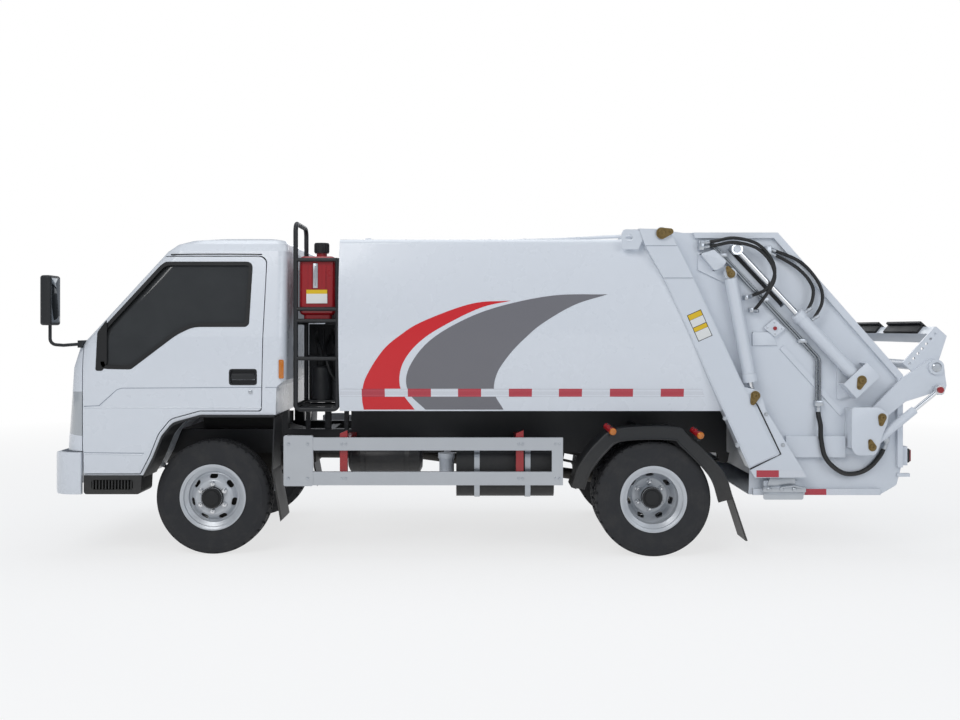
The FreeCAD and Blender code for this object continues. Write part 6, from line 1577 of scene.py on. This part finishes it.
def seat_pad(name, outline, y, half_width, cap):
    """Two stuffed pads from one outline in (x, z) millimetres, at y and at minus y."""
    bm = bmesh.new()
    verts = outline_plate(bm, outline, y - half_width, y + half_width)
    soften(bm, verts, 0.024, 3)
    piece = place_piece(name + "_passenger", bm, "cab", "seat_cloth")
    stuffed(piece, cap)
    mesh = piece.data
    half = half_width / 1000
    for vert in mesh.vertices:
        off = abs(vert.co.y - y / 1000)
        dip = math.exp(-((off - half * 0.5) / 0.007) ** 2) + 0.7 * math.exp(
            -((off - half * 0.93) / 0.006) ** 2)
        vert.co -= vert.normal * 0.005 * dip
        vert.co += vert.normal * noise.noise(vert.co * 11) * 0.0012
    mesh.polygons.foreach_set("use_smooth", [True] * len(mesh.polygons))
    bm = bmesh.new()
    bm.from_mesh(mesh)
    bmesh.ops.translate(bm, vec=(0, -2 * y / 1000, 0), verts=bm.verts)
    twin = place_piece(name + "_driver", bm, "cab", "seat_cloth")
    for pad in (piece, twin):
        soft = pad.modifiers.new("smooth_cover", "SUBSURF")
        soft.levels = 1
        soft.render_levels = 1
        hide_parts("seats")


class TRUCK_OT_seats(bpy.types.Operator):
    """Upholstered seats in place of the plain blocks"""
    bl_idname = "truck.seats"
    bl_label = "Seats"

    def execute(self, context):
        seat_pad("seat_cushion", [(-118, 1074), (320, 1056), (320, 1156), (-118, 1178)],
                 SEAT_SIDE, 226, 0.012)
        seat_pad("seat_back", [(280, 1182), (342, 1146), (408, 1640), (344, 1658)],
                 SEAT_SIDE, 222, 0.012)
        seat_pad("head_rest", [(352, 1700), (412, 1700), (414, 1816), (366, 1816)],
                 SEAT_SIDE, 120, 0.008)
        for name, y in (("driver", -SEAT_SIDE), ("passenger", SEAT_SIDE)):
            bm = bmesh.new()
            block(bm, at(-20, y - 190, 946), at(330, y + 190, 1066), 0.01)
            for side in (-50, 50):
                tube(bm, [at(382, y + side, 1636), at(384, y + side, 1706)], 0.006)
            place_piece("seat_base_" + name, bm, "cab", "moulded_black")
        return {"FINISHED"}


class TRUCK_PT_panel(bpy.types.Panel):
    """Lists the steps that dress the truck"""
    bl_idname = "TRUCK_PT_panel"
    bl_label = "Garbage truck"
    bl_space_type = "VIEW_3D"
    bl_region_type = "UI"
    bl_category = "Truck"

    def draw(self, context):
        layout = self.layout
        for operator in STEPS:
            layout.operator(operator.bl_idname)
        for group in (context.scene.truck_sizes, context.scene.truck_colours):
            for name in group.bl_rna.properties.keys():
                if name not in ("rna_type", "name"):
                    layout.prop(group, name)


STEPS = [TRUCK_OT_stage, TRUCK_OT_finishes, TRUCK_OT_tyres, TRUCK_OT_wheel_hardware,
         TRUCK_OT_markings, TRUCK_OT_window_trim, TRUCK_OT_cab_creases, TRUCK_OT_door_fittings,
         TRUCK_OT_front_fittings, TRUCK_OT_oil_tank_fittings, TRUCK_OT_post_fittings,
         TRUCK_OT_gate_fittings, TRUCK_OT_rear_lamps, TRUCK_OT_hydraulic_lines, TRUCK_OT_pad_treads,
         TRUCK_OT_roof_lines, TRUCK_OT_service_bay, TRUCK_OT_mudguard_skirts,
         TRUCK_OT_marker_lamps, TRUCK_OT_guard_fittings, TRUCK_OT_seats]
CLASSES = [TruckSizes, TruckColours] + STEPS + [TRUCK_PT_panel]


def register():
    """Registers the classes and hangs the settings on the scene."""
    for cls in CLASSES:
        bpy.utils.register_class(cls)
    bpy.types.Scene.truck_sizes = bpy.props.PointerProperty(type=TruckSizes)
    bpy.types.Scene.truck_colours = bpy.props.PointerProperty(type=TruckColours)


def unregister():
    """Takes the settings and the classes away again."""
    del bpy.types.Scene.truck_colours
    del bpy.types.Scene.truck_sizes
    for cls in reversed(CLASSES):
        bpy.utils.unregister_class(cls)


def main():
    """Runs every step in its order."""
    register()
    for step in STEPS:
        group, name = step.bl_idname.split(".")
        getattr(getattr(bpy.ops, group), name)()


if __name__ == "__main__":
    main()
